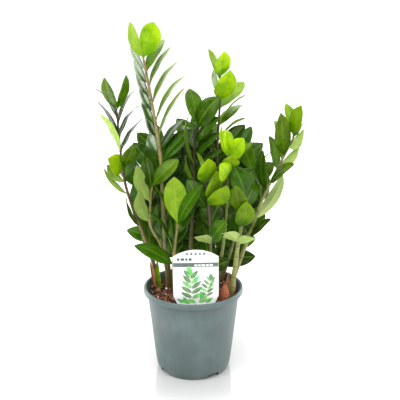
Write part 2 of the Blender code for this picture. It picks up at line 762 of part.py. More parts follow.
def main():
    clear_scene()
    parts = make_collection("potted_zz_plant")
    cutters = make_collection("cutters")
    pot_grey = make_material("pot_plastic", (0.13, 0.17, 0.16), 0.42)
    bark = make_material("bark_soil", (0.12, 0.05, 0.03), 0.95)
    card = make_material("label_card", (0.86, 0.88, 0.86), 0.35)
    leaf = make_material("leaf", (0.07, 0.22, 0.02), 0.28)
    tuber = make_material("tuber_skin", (0.36, 0.13, 0.06), 0.75)
    papery = make_material("papery_sheath", (0.55, 0.24, 0.10), 0.8)

    pot = build_pot(parts, cutters, pot_grey)
    label = build_label("plant_label", 0.0, parts, card)
    rhizome = add_object("rhizome_tip", rhizome_mesh(), parts, tuber)
    shade(rhizome)
    for blade in BLADES:
        shade(add_object(blade[0], narrow_blade(blade), parts, leaf if blade[0] == "young_shoot" else papery))

    crowd = Crowd()
    for obj in (pot, label, rhizome):
        crowd.add_mesh(obj.data, obj.name)
    for frond in FRONDS:
        crowd.add_mesh(stem_mesh(frond, LEAF_MARGIN), frond[0] + " stem")
    for frond in FRONDS:
        path = smooth_curve(stem_points(frond), STEM_POINTS)
        leaves = []
        for row in frond[4]:
            for wish in row_leaves(row):
                leaf_placed = place_leaf(crowd, frond, path, wish)
                if leaf_placed:
                    leaves.append(leaf_placed)
        build_frond(frond, leaves, parts, cutters, leaf)

    soil = turned("soil", soil_profile(), POT_SIDES, parts, bark)
    pockets = [("stem_pocket", stem_mesh(frond, CLEARANCE)) for frond in FRONDS]
    pockets += [("blade_pocket", narrow_blade(blade, SHEATH_CLEARANCE)) for blade in BLADES]
    pockets.append(("rhizome_pocket", rhizome_mesh(CLEARANCE)))
    made = [add_object(name, mesh, cutters) for name, mesh in pockets]
    made.append(build_label("label_slot", CLEARANCE, cutters))
    for pocket in made:
        hide_cutter(pocket)
        boolean(soil, "DIFFERENCE", pocket)
    bake_modifiers(soil)
    shade(soil)


main()
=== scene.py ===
"""The looks of a potted zz plant: fine fronds, bark soil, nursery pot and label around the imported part."""

import json
import math
import random

import bmesh
import bpy
from mathutils import Matrix, Vector, noise
from mathutils.bvhtree import BVHTree

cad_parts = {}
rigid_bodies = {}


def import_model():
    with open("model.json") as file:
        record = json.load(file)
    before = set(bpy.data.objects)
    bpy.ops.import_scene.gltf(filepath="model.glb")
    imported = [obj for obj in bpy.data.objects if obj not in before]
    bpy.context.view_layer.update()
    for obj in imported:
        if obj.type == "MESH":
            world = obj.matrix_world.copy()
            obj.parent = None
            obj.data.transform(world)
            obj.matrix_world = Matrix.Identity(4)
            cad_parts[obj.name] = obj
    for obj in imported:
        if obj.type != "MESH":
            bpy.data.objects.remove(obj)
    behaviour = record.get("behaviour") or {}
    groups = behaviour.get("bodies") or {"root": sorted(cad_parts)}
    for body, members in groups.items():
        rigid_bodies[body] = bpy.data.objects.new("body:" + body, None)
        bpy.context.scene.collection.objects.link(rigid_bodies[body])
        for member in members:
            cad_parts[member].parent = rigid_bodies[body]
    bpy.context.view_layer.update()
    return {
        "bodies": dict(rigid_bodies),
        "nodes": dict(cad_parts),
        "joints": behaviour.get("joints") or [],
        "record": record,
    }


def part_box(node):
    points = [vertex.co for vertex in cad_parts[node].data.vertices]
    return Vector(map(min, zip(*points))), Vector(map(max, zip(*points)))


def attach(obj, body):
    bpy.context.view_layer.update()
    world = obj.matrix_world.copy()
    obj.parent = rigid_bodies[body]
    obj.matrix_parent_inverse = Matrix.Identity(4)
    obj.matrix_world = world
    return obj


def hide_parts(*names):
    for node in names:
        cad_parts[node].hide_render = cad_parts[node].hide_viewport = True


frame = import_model()

MM = 0.001
POT_LOW, POT_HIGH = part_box("pot")
LABEL_LOW, LABEL_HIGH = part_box("plant_label")
SOIL_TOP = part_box("soil")[1].z

# Pot, as in the frame; angles between faces that stay sharp are in degrees
POT_RADIUS = (POT_HIGH.x - POT_LOW.x) / 2
POT_HEIGHT = POT_HIGH.z
WALL = 0.0018
BODY_RADIUS = POT_RADIUS - 0.0062
WALL_FOOT_RADIUS = BODY_RADIUS - 0.0156
FOOT_TUCK = 0.0022
FOOT_RADIUS = WALL_FOOT_RADIUS - FOOT_TUCK
CORNER_HEIGHT = 0.018
LIP_HEIGHT = 0.009
LIP_THICKNESS = 0.0022
MOUTH_RADIUS = POT_RADIUS - 0.0055
FOOT_STEP = 0.0006
FLOOR_THICKNESS = 0.0022
DISC_RADIUS = FOOT_RADIUS - 0.021
CHANNEL_HEIGHT = 0.0075
NOTCH_COUNT = 4
NOTCH_WIDTH = 0.022
NOTCH_DEPTH = 0.010
NOTCH_CORNER = 0.0018
NOTCH_TURN = math.radians(-55.0)
DRAIN_RADIUS = 0.0045
DRAIN_INSET = 0.0115
POT_SIDES = 144
POT_SHARP = 32.0

# Fronds, as in the frame
LEAF_THICKNESS = 0.0016
LEAF_FOLD = 0.22
LEAF_ARCH = 0.05
FACE_LIFT = 30.0
PETIOLE_WIDTH = 0.0026
STEM_SET = 0.030
STEM_POINTS = 11
SHEATH_SET = 0.012
LEAF_MARGIN = 0.0006

# Each frond: name, foot radius and tip radius of its stem in mm, the stem's points in mm (x, y, height above
# the soil) and its rows of leaflets. A row is: where along the stem in percent, how many, heading and climb
# of the leaflet in degrees, its length and width in mm, and the heading that its upper face looks to.
# A pair of values runs from the row's first leaflet to its last.
FRONDS = [
    ("frond_tall_left", 5.0, 1.9,
     [(-42, 25, 0), (-50, 22, 119), (-54, 16, 231), (-64, 8, 311), (-78, 0, 396)],
     [(100, 1, 61, 57, 64, 34, -55),
      (100, 1, -122, 59, 68, 22, 165),
      (94, 1, 66, 36, 80, 24, -125),
      ((88, 66), 4, (56, 24), (45, 60), (84, 94), 22, (-155, -165)),
      (61, 1, 49, 38, 72, 27, -150),
      ((95, 66), 6, (126, 118), (43, 45), 66, 24, (165, 190)),
      (58, 1, 113, 30, 66, 30, -175),
      ((56, 24), 4, (20, 60), (45, 30), 76, 30, -120),
      ((50, 20), 4, (150, 110), (44, 26), 74, 30, -110)]),
    ("frond_left", 4.0, 1.5,
     [(-60, 32, 0), (-67, 28, 29), (-84, 15, 94), (-102, 5, 149), (-115, 0, 209), (-122, -5, 314)],
     [(100, 1, -122, 62, 62, 25, -125),
      (100, 1, -36, 67, 62, 24, -35),
      ((95, 86), 2, (127, 150), (36, 52), 76, 24, (-10, -5)),
      (78, 1, -151, 66, 78, 24, 40),
      ((92, 78), 3, (64, 50), (45, 42), 74, 24, -162),
      (69, 1, -110, 32, 54, 34, -95),
      (70, 1, -55, 58, 58, 25, -60),
      (62, 1, -122, 38, 66, 18, -145),
      (55, 1, -128, 47, 76, 18, -155),
      (36, 1, -125, 59, 72, 22, -160),
      ((62, 46), 2, (80, 60), 46, 66, 28, -100),
      (28, 1, 116, 48, 78, 27, -45),
      ((40, 20), 2, (60, 80), (50, 30), 70, 28, -90)]),
    ("frond_centre", 4.0, 1.6,
     [(-8, 40, 0), (0, 25, 159), (3, 15, 255), (7, 8, 287)],
     [(100, 1, 107, 53, 68, 31, -65),
      (98, 1, -28, 55, 66, 33, -100),
      ((89, 71), 3, (-35, -24), (47, 42), 66, 28, (-140, -165)),
      (75, 1, -129, 75, 108, 26, -180),
      (66, 1, -117, 55, 60, 26, -160),
      ((84, 66), 2, (108, 120), (32, 46), (62, 70), 29, -52),
      ((60, 22), 5, (-8, 5), (44, 30), 70, 30, -95),
      ((54, 18), 5, (160, 140), (44, 28), 70, 30, -90)]),
    ("frond_centre_tall", 4.2, 1.5,
     [(22, 46, 0), (36, 34, 159), (41, 22, 264), (44, 12, 329), (44, 5, 366)],
     [(100, 1, -82, 53, 54, 27, -75),
      (98, 1, -143, 67, 56, 24, -30),
      (92, 1, 110, 49, 52, 20, 175),
      (89, 1, -65, 54, 62, 34, -70),
      (85, 1, 47, 32, 72, 30, -122),
      (77, 1, 47, 29, 66, 29, -138),
      ((78, 70), 2, (30, 38), (42, 30), 68, 24, 170),
      (66, 1, 165, 46, 66, 28, -100),
      ((62, 20), 5, (25, 40), (46, 28), 74, 30, -105),
      ((56, 16), 5, (165, 120), (46, 28), 74, 30, -90)]),
    ("frond_young", 3.4, 1.5,
     [(40, 0, 0), (54, -18, 124), (56, -38, 198), (57, -48, 250)],
     [(100, 1, -122, 73, 46, 22, -55),
      (98, 1, 133, 70, 54, 22, -170),
      (96, 1, -23, 60, 44, 28, -105),
      (92, 1, -78, 40, 40, 26, -80),
      (84, 1, -110, 40, 50, 30, -88),
      (91, 1, 13, 48, 58, 23, -155),
      ((74, 44), 3, (20, 150), 36, 60, 29, -90)]),
    ("frond_right", 4.4, 1.7,
     [(64, 12, 0), (80, 8, 52), (97, 2, 106), (114, -5, 162), (141, -10, 225), (162, -15, 271)],
     [(100, 1, 106, 54, 62, 27, -50),
      (100, 1, -79, 67, 60, 28, -125),
      (98, 1, 41, 56, 46, 20, -175),
      (93, 1, -64, 38, 62, 26, -45),
      (81, 1, -54, 43, 64, 28, -30),
      (70, 1, -48, 44, 64, 26, -160),
      (46, 1, 29, 50, 92, 29, 30),
      (33, 1, -30, 46, 60, 24, -175),
      (88, 1, -107, 66, 84, 27, -80),
      (85, 1, 94, 43, 84, 27, -50),
      (79, 1, 96, 36, 72, 24, 85),
      (64, 1, -127, 76, 76, 28, -140),
      ((56, 34), 2, (80, 60), (46, 40), 66, 28, -90),
      (39, 1, 170, 58, 50, 26, -90)]),
    ("frond_right_rear", 3.6, 1.5,
     [(51, 47, 0), (84, 55, 120), (104, 52, 196)],
     [(100, 1, 150, 64, 60, 28, -95),
      (98, 1, 20, 46, 56, 24, 170),
      ((90, 30), 5, (140, 160), (46, 30), 68, 29, -95),
      ((84, 26), 5, (30, 60), (40, 28), 66, 28, -100)]),
    ("frond_thick", 5.2, 2.2,
     [(64, -27, 0), (71, -30, 63), (74, -32, 94), (80, -35, 136), (86, -38, 178)],
     [(100, 1, -142, 66, 60, 33, -80),
      (88, 1, 60, 46, 66, 26, -50),
      (84, 1, -123, 71, 60, 32, -115),
      (70, 1, -75, 60, 58, 32, -80),
      (62, 1, 130, 52, 56, 27, -90),
      (55, 1, -130, 36, 50, 27, 80),
      (53, 1, -45, 32, 42, 24, 100)]),
    ("frond_front_right", 3.6, 1.5,
     [(27, -24, 0), (29, -26, 84), (28, -30, 128), (25, -34, 165), (19, -38, 203)],
     [(100, 1, -80, 55, 56, 31, -72),
      (98, 1, 135, 71, 54, 20, -20),
      (86, 1, -59, 57, 60, 26, -60),
      (80, 1, -47, 44, 60, 29, -58),
      (76, 1, 150, 48, 62, 28, -90),
      (48, 1, -56, 50, 60, 32, -110),
      (46, 1, -128, 34, 46, 26, 80),
      ((62, 30), 3, (60, 100), (46, 30), 62, 29, -95),
      (24, 1, 5, 24, 36, 22, -70)]),
    ("frond_front_left", 3.6, 2.0,
     [(-32, -4, 0), (-33, -17, 49), (-31, -26, 84), (-25, -32, 130)],
     [(100, 1, -159, 87, 82, 38, 80),
      (99, 1, -20, 59, 86, 29, -135),
      (72, 1, 145, 77, 104, 26, -5),
      (58, 1, -154, 64, 92, 26, 0),
      ((84, 50), 3, (60, 95), (50, 36), 72, 30, -100),
      (41, 1, 147, 28, 74, 29, -40)]),
    ("frond_pale_left", 3.6, 1.6,
     [(-45, 10, 0), (-46, 5, 35), (-54, -3, 81), (-71, -11, 121), (-71, -2, 157), (-68, 5, 184)],
     [(100, 1, 30, 45, 64, 29, -120),
      (86, 1, -142, 67, 74, 28, 160),
      (68, 1, -131, 64, 70, 28, 165),
      (96, 1, 120, 62, 60, 26, -60),
      ((84, 62), 2, (90, 80), (46, 38), 68, 29, -90)]),
    ("frond_rear_left", 4.0, 1.5,
     [(-22, 60, 0), (-38, 84, 119), (-60, 108, 214)],
     [(100, 1, 120, 62, 62, 26, -60),
      ((96, 16), 7, (175, 160), (48, 20), (62, 74), 30, -95),
      ((92, 12), 7, (55, 15), (50, 20), (62, 74), 30, -95)]),
    ("frond_rear_centre", 4.0, 1.5,
     [(6, 64, 0), (10, 92, 124), (6, 122, 234)],
     [(100, 1, 85, 62, 62, 26, -90),
      ((96, 14), 7, (150, 175), (50, 18), (62, 74), 30, -95),
      ((92, 10), 7, (30, 5), (50, 18), (62, 74), 30, -95)]),
    ("frond_rear_right", 4.0, 1.5,
     [(33, 62, 0), (56, 92, 109), (84, 118, 204)],
     [(100, 1, 55, 60, 62, 26, -120),
      ((96, 16), 7, (130, 165), (50, 20), (62, 74), 30, -90),
      ((92, 12), 7, (5, -5), (46, 18), (62, 74), 30, -100)]),
    ("frond_side_left", 3.8, 1.5,
     [(-42, 48, 0), (-64, 70, 99), (-90, 92, 169)],
     [(100, 1, 145, 58, 60, 26, -20),
      ((92, 40), 4, (-175, 175), (40, 30), (58, 64), 28, -60),
      (80, 1, 100, 50, 56, 26, -130)]),
]

# Papery sheaths and the young shoot: name, foot (x, y) in mm, heading, climb, visible length, width, face
BLADES = [
    ("sheath_right", (69, -10), 85, 84, 34, 7.0, -90),
    ("sheath_middle", (58, -17), 60, 82, 40, 6.0, -100),
    ("sheath_left", (-68, 22), 165, 80, 44, 6.0, -80),
    ("young_shoot", (-58, 14), 160, 84, 50, 7.5, -100),
]

# CAD leaflet: shares of the length, and the blade's share of its width there
STATIONS = [(0.0, 0.0), (0.10, 0.22), (0.36, 0.94), (0.70, 0.84)]

# What a crowded leaflet tries: every turn (heading and tilt in degrees) at each size
SHRINKS = (1.0, 0.88, 0.76, 0.64, 0.52, 0.40)
TURNS = ((0, 0), (8, 0), (-8, 0), (0, 8), (0, -8), (16, 0), (-16, 0), (0, 16), (0, -16),
         (14, 14), (-14, 14), (14, -14), (-14, -14), (26, 0), (-26, 0), (26, 12), (-26, 12),
         (40, 0), (-40, 0))


# ---------------------------------------------------------------- objects and meshes in few words

def new_object(name, data):
    """A new object in the scene."""
    obj = bpy.data.objects.new(name, data)
    bpy.context.scene.collection.objects.link(obj)
    return obj


def mesh_from(work, name, material=None):
    """The bmesh as a mesh."""
    mesh = bpy.data.meshes.new(name)
    work.to_mesh(mesh)
    work.free()
    if material:
        mesh.materials.append(material)
    return mesh


def evaluated_mesh(obj):
    """A copy of the object's mesh with its modifiers applied."""
    graph = bpy.context.evaluated_depsgraph_get()
    return bpy.data.meshes.new_from_object(obj.evaluated_get(graph))


def circle(radius, height, count):
    """Points evenly round the upright axis."""
    angles = [math.tau * k / count for k in range(count)]
    return [Vector((radius * math.cos(a), radius * math.sin(a), height)) for a in angles]


def place_piece(obj, replaced):
    """The piece rides on the only body and stands for its node."""
    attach(obj, "root")
    if replaced:
        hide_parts(replaced)


class Mesh:
    """Collects points, faces and their looks, then makes one object."""

    def __init__(self):
        self.points = []
        self.faces = []
        self.slots = []
        self.uvs = []
        self.looks = []
        self.tints = []

    def face(self, corners, slot=0, uvs=None, look=(0, 0, 0), tints=None):
        self.faces.append(corners)
        self.slots.append(slot)
        self.uvs.extend(uvs or [(0.0, 0.0)] * len(corners))
        self.looks.extend([look] * len(corners))
        self.tints.extend(tints or [(0.0, 0.0, 0.0)] * len(corners))

    def build(self, name, materials, look_name=None, uv_name=None, tint_name=None, sharp=None):
        mesh = bpy.data.meshes.new(name)
        mesh.from_pydata([tuple(p) for p in self.points], [], self.faces)
        for material in materials:
            mesh.materials.append(material)
        mesh.polygons.foreach_set("material_index", self.slots)
        if uv_name:
            layer = mesh.uv_layers.new(name=uv_name)
            layer.data.foreach_set("uv", [value for uv in self.uvs for value in uv])
        for layer_name, values in ((look_name, self.looks), (tint_name, self.tints)):
            if layer_name:
                layer = mesh.color_attributes.new(layer_name, "FLOAT_COLOR", "CORNER")
                layer.data.foreach_set("color", [v for value in values for v in (*value[:3], 1.0)])
        mesh.validate()
        mesh.shade_smooth()
        if sharp:
            mesh.set_sharp_from_angle(angle=math.radians(sharp))
        return new_object(name, mesh)


# ---------------------------------------------------------------- where the leaflets grow

def wall_radius(height):
    """Outer radius of the pot's plain wall at a height."""
    share = min(height / (POT_HEIGHT - LIP_HEIGHT), 1.0)
    radius = WALL_FOOT_RADIUS + (BODY_RADIUS - WALL_FOOT_RADIUS) * share
    tuck = max(CORNER_HEIGHT - height, 0.0) / CORNER_HEIGHT
    return radius - FOOT_TUCK * tuck * tuck


def inner_radius(height):
    """Inner radius of the pot at a height: the wall, then the flare up to the mouth."""
    flare_start = POT_HEIGHT - LIP_HEIGHT
    radius = wall_radius(height) - WALL
    if height > flare_start:
        radius += (MOUTH_RADIUS - radius) * (height - flare_start) / LIP_HEIGHT
    return radius


def stem_points(frond):
    """The stem's own points in metres, placed on the soil."""
    _, _, _, points, _ = frond
    return [Vector(point) * MM + Vector((0.0, 0.0, SOIL_TOP)) for point in points]


def smooth_curve(points, count):
    """Points spread evenly along a Catmull-Rom curve."""
    fine = []
    for i in range(len(points) - 1):
        a = points[max(i - 1, 0)]
        b, c = points[i], points[i + 1]
        d = points[min(i + 2, len(points) - 1)]
        for k in range(16):
            t = k / 16
            fine.append(0.5 * (2 * b + (c - a) * t + (2 * a - 5 * b + 4 * c - d) * t * t
                               + (3 * b - 3 * c + d - a) * t * t * t))
    fine.append(points[-1].copy())
    run = [0.0]
    for before, after in zip(fine, fine[1:]):
        run.append(run[-1] + (after - before).length)
    spaced = []
    at = 0
    for i in range(count):
        goal = run[-1] * i / (count - 1)
        while at < len(run) - 2 and run[at + 1] < goal:
            at += 1
        share = (goal - run[at]) / max(run[at + 1] - run[at], 1e-9)
        spaced.append(fine[at].lerp(fine[at + 1], share))
    return spaced


def stem_radius(frond, share):
    """Radius at a share of the stem's length: a swollen foot, then an even taper."""
    foot, tip = frond[1] * MM, frond[2] * MM
    return tip + (foot - tip) * (1 - share) ** 1.4


def stem_mesh(frond, grow):
    """The CAD stem's tube, grown by a margin."""
    path = smooth_curve(stem_points(frond), STEM_POINTS)
    radii = [stem_radius(frond, i / (STEM_POINTS - 1)) for i in range(STEM_POINTS)]
    narrowing = inner_radius(SOIL_TOP - STEM_SET) / inner_radius(SOIL_TOP)
    sunk = Vector((path[0].x * narrowing, path[0].y * narrowing, path[0].z - STEM_SET - grow))
    path = [sunk, sunk.lerp(path[0], 0.6)] + path
    radii = [radii[0] * 0.7, radii[0]] + radii
    curve = bpy.data.curves.new("stem", "CURVE")
    curve.dimensions = "3D"
    curve.bevel_depth = 1.0
    curve.bevel_resolution = 2
    curve.use_fill_caps = True
    spline = curve.splines.new("POLY")
    spline.points.add(len(path) - 1)
    for point, place, radius in zip(spline.points, path, radii):
        point.co = (*place, 1.0)
        point.radius = radius + grow
    guide = new_object("stem", curve)
    mesh = evaluated_mesh(guide)
    bpy.data.objects.remove(guide, do_unlink=True)
    return mesh


def towards(heading, climb):
    """The direction with a heading and a climb in degrees."""
    heading, climb = math.radians(heading), math.radians(climb)
    level = math.cos(climb)
    return Vector((math.cos(heading) * level, math.sin(heading) * level, math.sin(climb)))


def blade_frame(heading, climb, face):
    """Axes of a blade: across, along and out of its upper face."""
    along = towards(heading, climb)
    guide = towards(face, FACE_LIFT)
    out = (guide - along * guide.dot(along)).normalized()
    return along.cross(out), along, out


def blade_points(base, frame, length, width, thickness, first=0, grow=0.0):
    """Rings of four points along the blade, folded at the midrib and arched, then the tip."""
    across, along, out = frame
    rings = []
    for share, broad in STATIONS[first:]:
        half = max(width * broad, PETIOLE_WIDTH) / 2 + grow
        rise = LEAF_ARCH * length * 4 * share * (1 - share)
        deep = thickness / 2 + grow
        lifted = LEAF_FOLD * half * broad
        middle = base + along * (share * length) + out * rise
        rings.append([
            middle - across * half + out * lifted,
            middle - out * deep,
            middle + across * half + out * lifted,
            middle + out * deep,
        ])
    return rings, base + along * (length + grow)


def blade_faces(rings):
    """Quads between the rings, a cap at the foot and a fan to the tip."""
    faces = [(3, 2, 1, 0)]
    for k in range(len(rings) - 1):
        for i in range(4):
            j = (i + 1) % 4
            faces.append((4 * k + i, 4 * k + j, 4 * k + 4 + j, 4 * k + 4 + i))
    last = 4 * (len(rings) - 1)
    tip = last + 4
    for i in range(4):
        faces.append((last + i, last + (i + 1) % 4, tip))
    return faces


def blade_shape(*args, **keys):
    """Points and faces of the CAD leaflet."""
    rings, tip = blade_points(*args, **keys)
    return [point for ring in rings for point in ring] + [tip], blade_faces(rings)


def between(value, share):
    """A single value, or the value at a share of the way along a pair."""
    if isinstance(value, tuple):
        return value[0] + (value[1] - value[0]) * share
    return value


def row_leaves(row):
    """The leaflets of a row: where, heading, climb, length, width, face."""
    where, count, heading, climb, length, width, face = row
    for i in range(count):
        share = i / max(count - 1, 1)
        yield tuple(between(v, share) for v in (where, heading, climb, length, width, face))


class Crowd:
    """What is placed already, so that each new leaflet finds a clear place."""

    def __init__(self):
        self.items = []

    def add(self, points, faces, owner):
        low = Vector(min(p[i] for p in points) for i in range(3))
        high = Vector(max(p[i] for p in points) for i in range(3))
        self.items.append((low, high, BVHTree.FromPolygons(points, faces), owner))

    def add_mesh(self, mesh, owner):
        self.add([v.co.copy() for v in mesh.vertices], [tuple(p.vertices) for p in mesh.polygons], owner)

    def clear_of(self, whole, blade, frond_name):
        """The whole leaflet is clear of other pieces, and its blade of its own frond's leaflets."""
        points = whole[0]
        low = [min(p[i] for p in points) for i in range(3)]
        high = [max(p[i] for p in points) for i in range(3)]
        whole_tree = BVHTree.FromPolygons(*whole)
        blade_tree = BVHTree.FromPolygons(*blade)
        for box_low, box_high, other, owner in self.items:
            if owner == frond_name + " stem":
                continue
            if any(low[i] > box_high[i] or high[i] < box_low[i] for i in range(3)):
                continue
            if other.overlap(blade_tree if owner == frond_name else whole_tree):
                return False
        return True


def place_leaf(crowd, frond, path, leaf):
    """Turns a leaflet a little, or makes it smaller, until it is clear of all that is placed."""
    where, heading, climb, length, width, face = leaf
    spot = where / 100 * (len(path) - 1)
    low = min(int(spot), len(path) - 2)
    base = path[low].lerp(path[low + 1], spot - low)
    for shrink in SHRINKS:
        long = length * MM * shrink
        wide = width * MM * shrink
        for turn, tilt in TURNS:
            frame = blade_frame(heading + turn, climb + tilt, face)
            whole = blade_shape(base, frame, long, wide, LEAF_THICKNESS, grow=LEAF_MARGIN)
            blade = blade_shape(base, frame, long, wide, LEAF_THICKNESS, first=2)
            if crowd.clear_of(whole, blade, frond[0]):
                crowd.add(*blade_shape(base, frame, long, wide, LEAF_THICKNESS, first=1), frond[0])
                return base, frame, long, wide
    return None


# ---------------------------------------------------------------- shader nodes in few words

class Value:
    """A node's output that can be reckoned with: +, - and * become Math nodes."""

    def __init__(self, nodes, socket):
        self.nodes = nodes
        self.socket = socket

    def calc(self, operation, other=0.0):
        return self.nodes.add("ShaderNodeMath", {0: self, 1: other}, operation=operation)

    def __add__(self, other):
        return self.calc("ADD", other)

    def __sub__(self, other):
        return self.calc("SUBTRACT", other)

    def __mul__(self, other):
        return self.calc("MULTIPLY", other)

    def split(self, kind="ShaderNodeSeparateXYZ"):
        """The three parts of a place or a colour."""
        first = self.nodes.add(kind, {0: self})
        return [Value(self.nodes, socket) for socket in first.socket.node.outputs]


class Nodes:
    """A node tree, with a short call for a node."""

    def __init__(self, tree):
        self.tree = tree

    def fill(self, node, inputs):
        """Sets the node's inputs to constants, or links them to other nodes' outputs."""
        for key, value in inputs.items():
            if isinstance(value, Value):
                self.tree.links.new(value.socket, node.inputs[key])
            else:
                node.inputs[key].default_value = value

    def add(self, kind, inputs=None, output=0, **settings):
        """One output of a new node."""
        node = self.tree.nodes.new(kind)
        for key, value in settings.items():
            setattr(node, key, value)
        self.fill(node, inputs or {})
        return Value(self, node.outputs[output])


class Finish(Nodes):
    """A material in the making."""

    def __init__(self, name):
        self.material = bpy.data.materials.new(name)
        self.material.use_nodes = True
        super().__init__(self.material.node_tree)

    def place(self, scale=(1.0, 1.0, 1.0)):
        """The place on the object, scaled along its axes."""
        place = self.add("ShaderNodeTexCoord", output="Object")
        return self.add("ShaderNodeMapping", {"Vector": place, "Scale": scale})

    def blade_place(self):
        """Across and along a leaflet, or round and along a stem, each from 0 to 1."""
        return self.add("ShaderNodeUVMap", uv_map="blade").split()[:2]

    def attribute(self, name):
        return self.add("ShaderNodeAttribute", output="Color", attribute_name=name)

    def blend(self, share, a, b):
        """The colour at a share of the way from a to b."""
        return self.add("ShaderNodeMix", {0: share, 6: a, 7: b}, 2, data_type="RGBA")

    def spread(self, value, low, high, to_low=0.0, to_high=1.0):
        """The value's range low to high brought smoothly to another range."""
        inputs = {"Value": value, "From Min": low, "From Max": high, "To Min": to_low, "To Max": to_high}
        return self.add("ShaderNodeMapRange", inputs, interpolation_type="SMOOTHSTEP")

    def noise(self, scale, detail=3.0, roughness=0.55, place=None):
        inputs = {"Vector": place or self.place(), "Scale": scale, "Detail": detail, "Roughness": roughness}
        return self.add("ShaderNodeTexNoise", inputs, "Fac")

    def bump(self, height, distance, strength=1.0):
        return self.add("ShaderNodeBump", {"Height": height, "Distance": distance, "Strength": strength})

    def done(self, inputs):
        """The material, with these inputs on its shader."""
        self.fill(self.tree.nodes["Principled BSDF"], inputs)
        return self.material


def srgb(red, green, blue):
    """A colour given as 0 to 255 on screen, in the linear values that shaders use."""
    def linear(value):
        value /= 255
        return value / 12.92 if value <= 0.04045 else ((value + 0.055) / 1.055) ** 2.4
    return (linear(red), linear(green), linear(blue), 1.0)


# ---------------------------------------------------------------- materials

def leaf_material(name, upper):
    """Waxy blade: midrib, side veins, a margin painted lighter as an edge highlight; young leaflets are
    yellow-green.
    """
    finish = Finish(name)
    blend, spread = finish.blend, finish.spread
    youth, chance, pale = finish.attribute("leaf_look").split("ShaderNodeSeparateColor")
    across, along = finish.blade_place()
    off = (across - 0.5).calc("ABSOLUTE") * 2.0
    mottle = finish.noise(60.0, 4.0)
    grain = finish.noise(700.0, 2.0)
    wave = ((along * 15.0 - off * 2.6 + mottle * 0.7) * math.tau).calc("SINE")
    vein = spread(wave, 0.72, 1.0)
    rib = spread(off, 0.075, 0.01)
    # the mask for the leaflet's margin, which is painted lighter all round as an edge highlight
    margin_highlight = spread(off, 0.93, 0.995)
    if upper:
        dark, mid = srgb(9, 20, 0), srgb(36, 80, 0)
        fresh, bright = srgb(88, 150, 0), srgb(176, 214, 0)
        rib_colour, edge_highlight_colour = srgb(104, 146, 40), srgb(136, 176, 60)
        vein_share, roughness, relief_size, specular = 0.14, 0.20, 0.0006, 0.22
        coat = spread(youth, 0.1, 0.6, 0.10, 0.02)
    else:
        dark, mid = srgb(62, 96, 14), srgb(108, 142, 30)
        fresh, bright = srgb(126, 168, 22), srgb(170, 204, 56)
        rib_colour, edge_highlight_colour = srgb(142, 168, 72), srgb(172, 196, 104)
        vein_share, roughness, relief_size, specular = 0.22, 0.42, 0.0004, 0.14
        coat = 0.0
    grown = blend(spread(mottle + chance * 0.5, 0.35, 1.05), dark, mid)
    young = blend(spread(mottle + along * 0.35, 0.35, 0.95), fresh, bright)
    colour = blend(youth, grown, young)
    colour = blend(pale * 0.85, colour, srgb(214, 232, 160))
    colour = blend(vein * vein_share, colour, rib_colour)
    colour = blend(rib * 0.5, colour, rib_colour)
    # painted edge highlight: the margin blended towards a lighter colour
    colour = blend(margin_highlight * 0.55, colour, edge_highlight_colour)
    relief = vein * -0.5 + grain * 0.22 + mottle * 1.1
    return finish.done({
        "Base Color": colour,
        "Roughness": youth * 0.08 + mottle * 0.12 + roughness,
        "Normal": finish.bump(relief, relief_size, 0.8),
        "Coat Weight": coat,
        "Coat Roughness": 0.10,
        "Specular IOR Level": specular,
        "Specular Tint": (0.70, 1.0, 0.34, 1.0),
    })


def stem_material():
    """Petiole skin: its own tint along the stem, dark flecks and faint rings."""
    finish = Finish("stem_skin")
    blend, spread = finish.blend, finish.spread
    turn, along = finish.blade_place()
    around = turn * math.tau
    tube = finish.add("ShaderNodeCombineXYZ", {
        0: around.calc("COSINE") * 1.2, 1: around.calc("SINE") * 1.2, 2: along * 26.0})
    flecks = finish.noise(2.6, 5.0, 0.7, tube)
    streaks = finish.noise(9.0, place=tube)
    ring = spread((along * 62.0).calc("SINE") + streaks * 0.5, 0.98, 1.38)
    colour = blend(spread(flecks, 0.50, 0.68), finish.attribute("stem_tint"), srgb(62, 56, 34))
    colour = blend(ring * 0.6, colour, srgb(54, 50, 28))
    colour = blend(spread(streaks, 0.62, 0.8, 0.0, 0.35), colour, srgb(172, 166, 112))
    return finish.done({
        "Base Color": colour,
        "Roughness": spread(flecks, 0.3, 0.7, 0.38, 0.56),
        "Normal": finish.bump(streaks * 0.4 + ring * -0.6, 0.0005, 0.7),
    })


def pot_material():
    """Satin moulded plastic: faint vertical flow marks, scuffs and a dusting near the foot."""
    finish = Finish("pot_plastic")
    blend, spread = finish.blend, finish.spread
    flow = finish.noise(70.0, 4.0, place=finish.place((1.0, 1.0, 0.06)))
    cloud = finish.noise(18.0)
    scuff = finish.noise(260.0, 5.0, 0.75)
    grain = finish.noise(1500.0, 2.0)
    height = finish.place().split()[2]
    base = blend(spread(flow, 0.3, 0.7), srgb(76, 92, 91), srgb(83, 100, 99))
    base = blend(spread(cloud, 0.45, 0.75, 0.0, 0.35), base, srgb(112, 128, 128))
    base = blend(spread(scuff, 0.66, 0.80, 0.0, 0.4), base, srgb(146, 158, 156))
    dust = spread(height, 0.002, 0.020, 0.35, 0.0) * spread(cloud, 0.35, 0.6)
    return finish.done({
        "Base Color": blend(dust, base, srgb(140, 138, 126)),
        "Roughness": spread(flow + scuff * 0.4, 0.4, 0.95, 0.34, 0.50),
        "Normal": finish.bump(flow * 0.5 + grain * 0.12, 0.0004, 0.5),
        "Specular IOR Level": 0.5,
    })


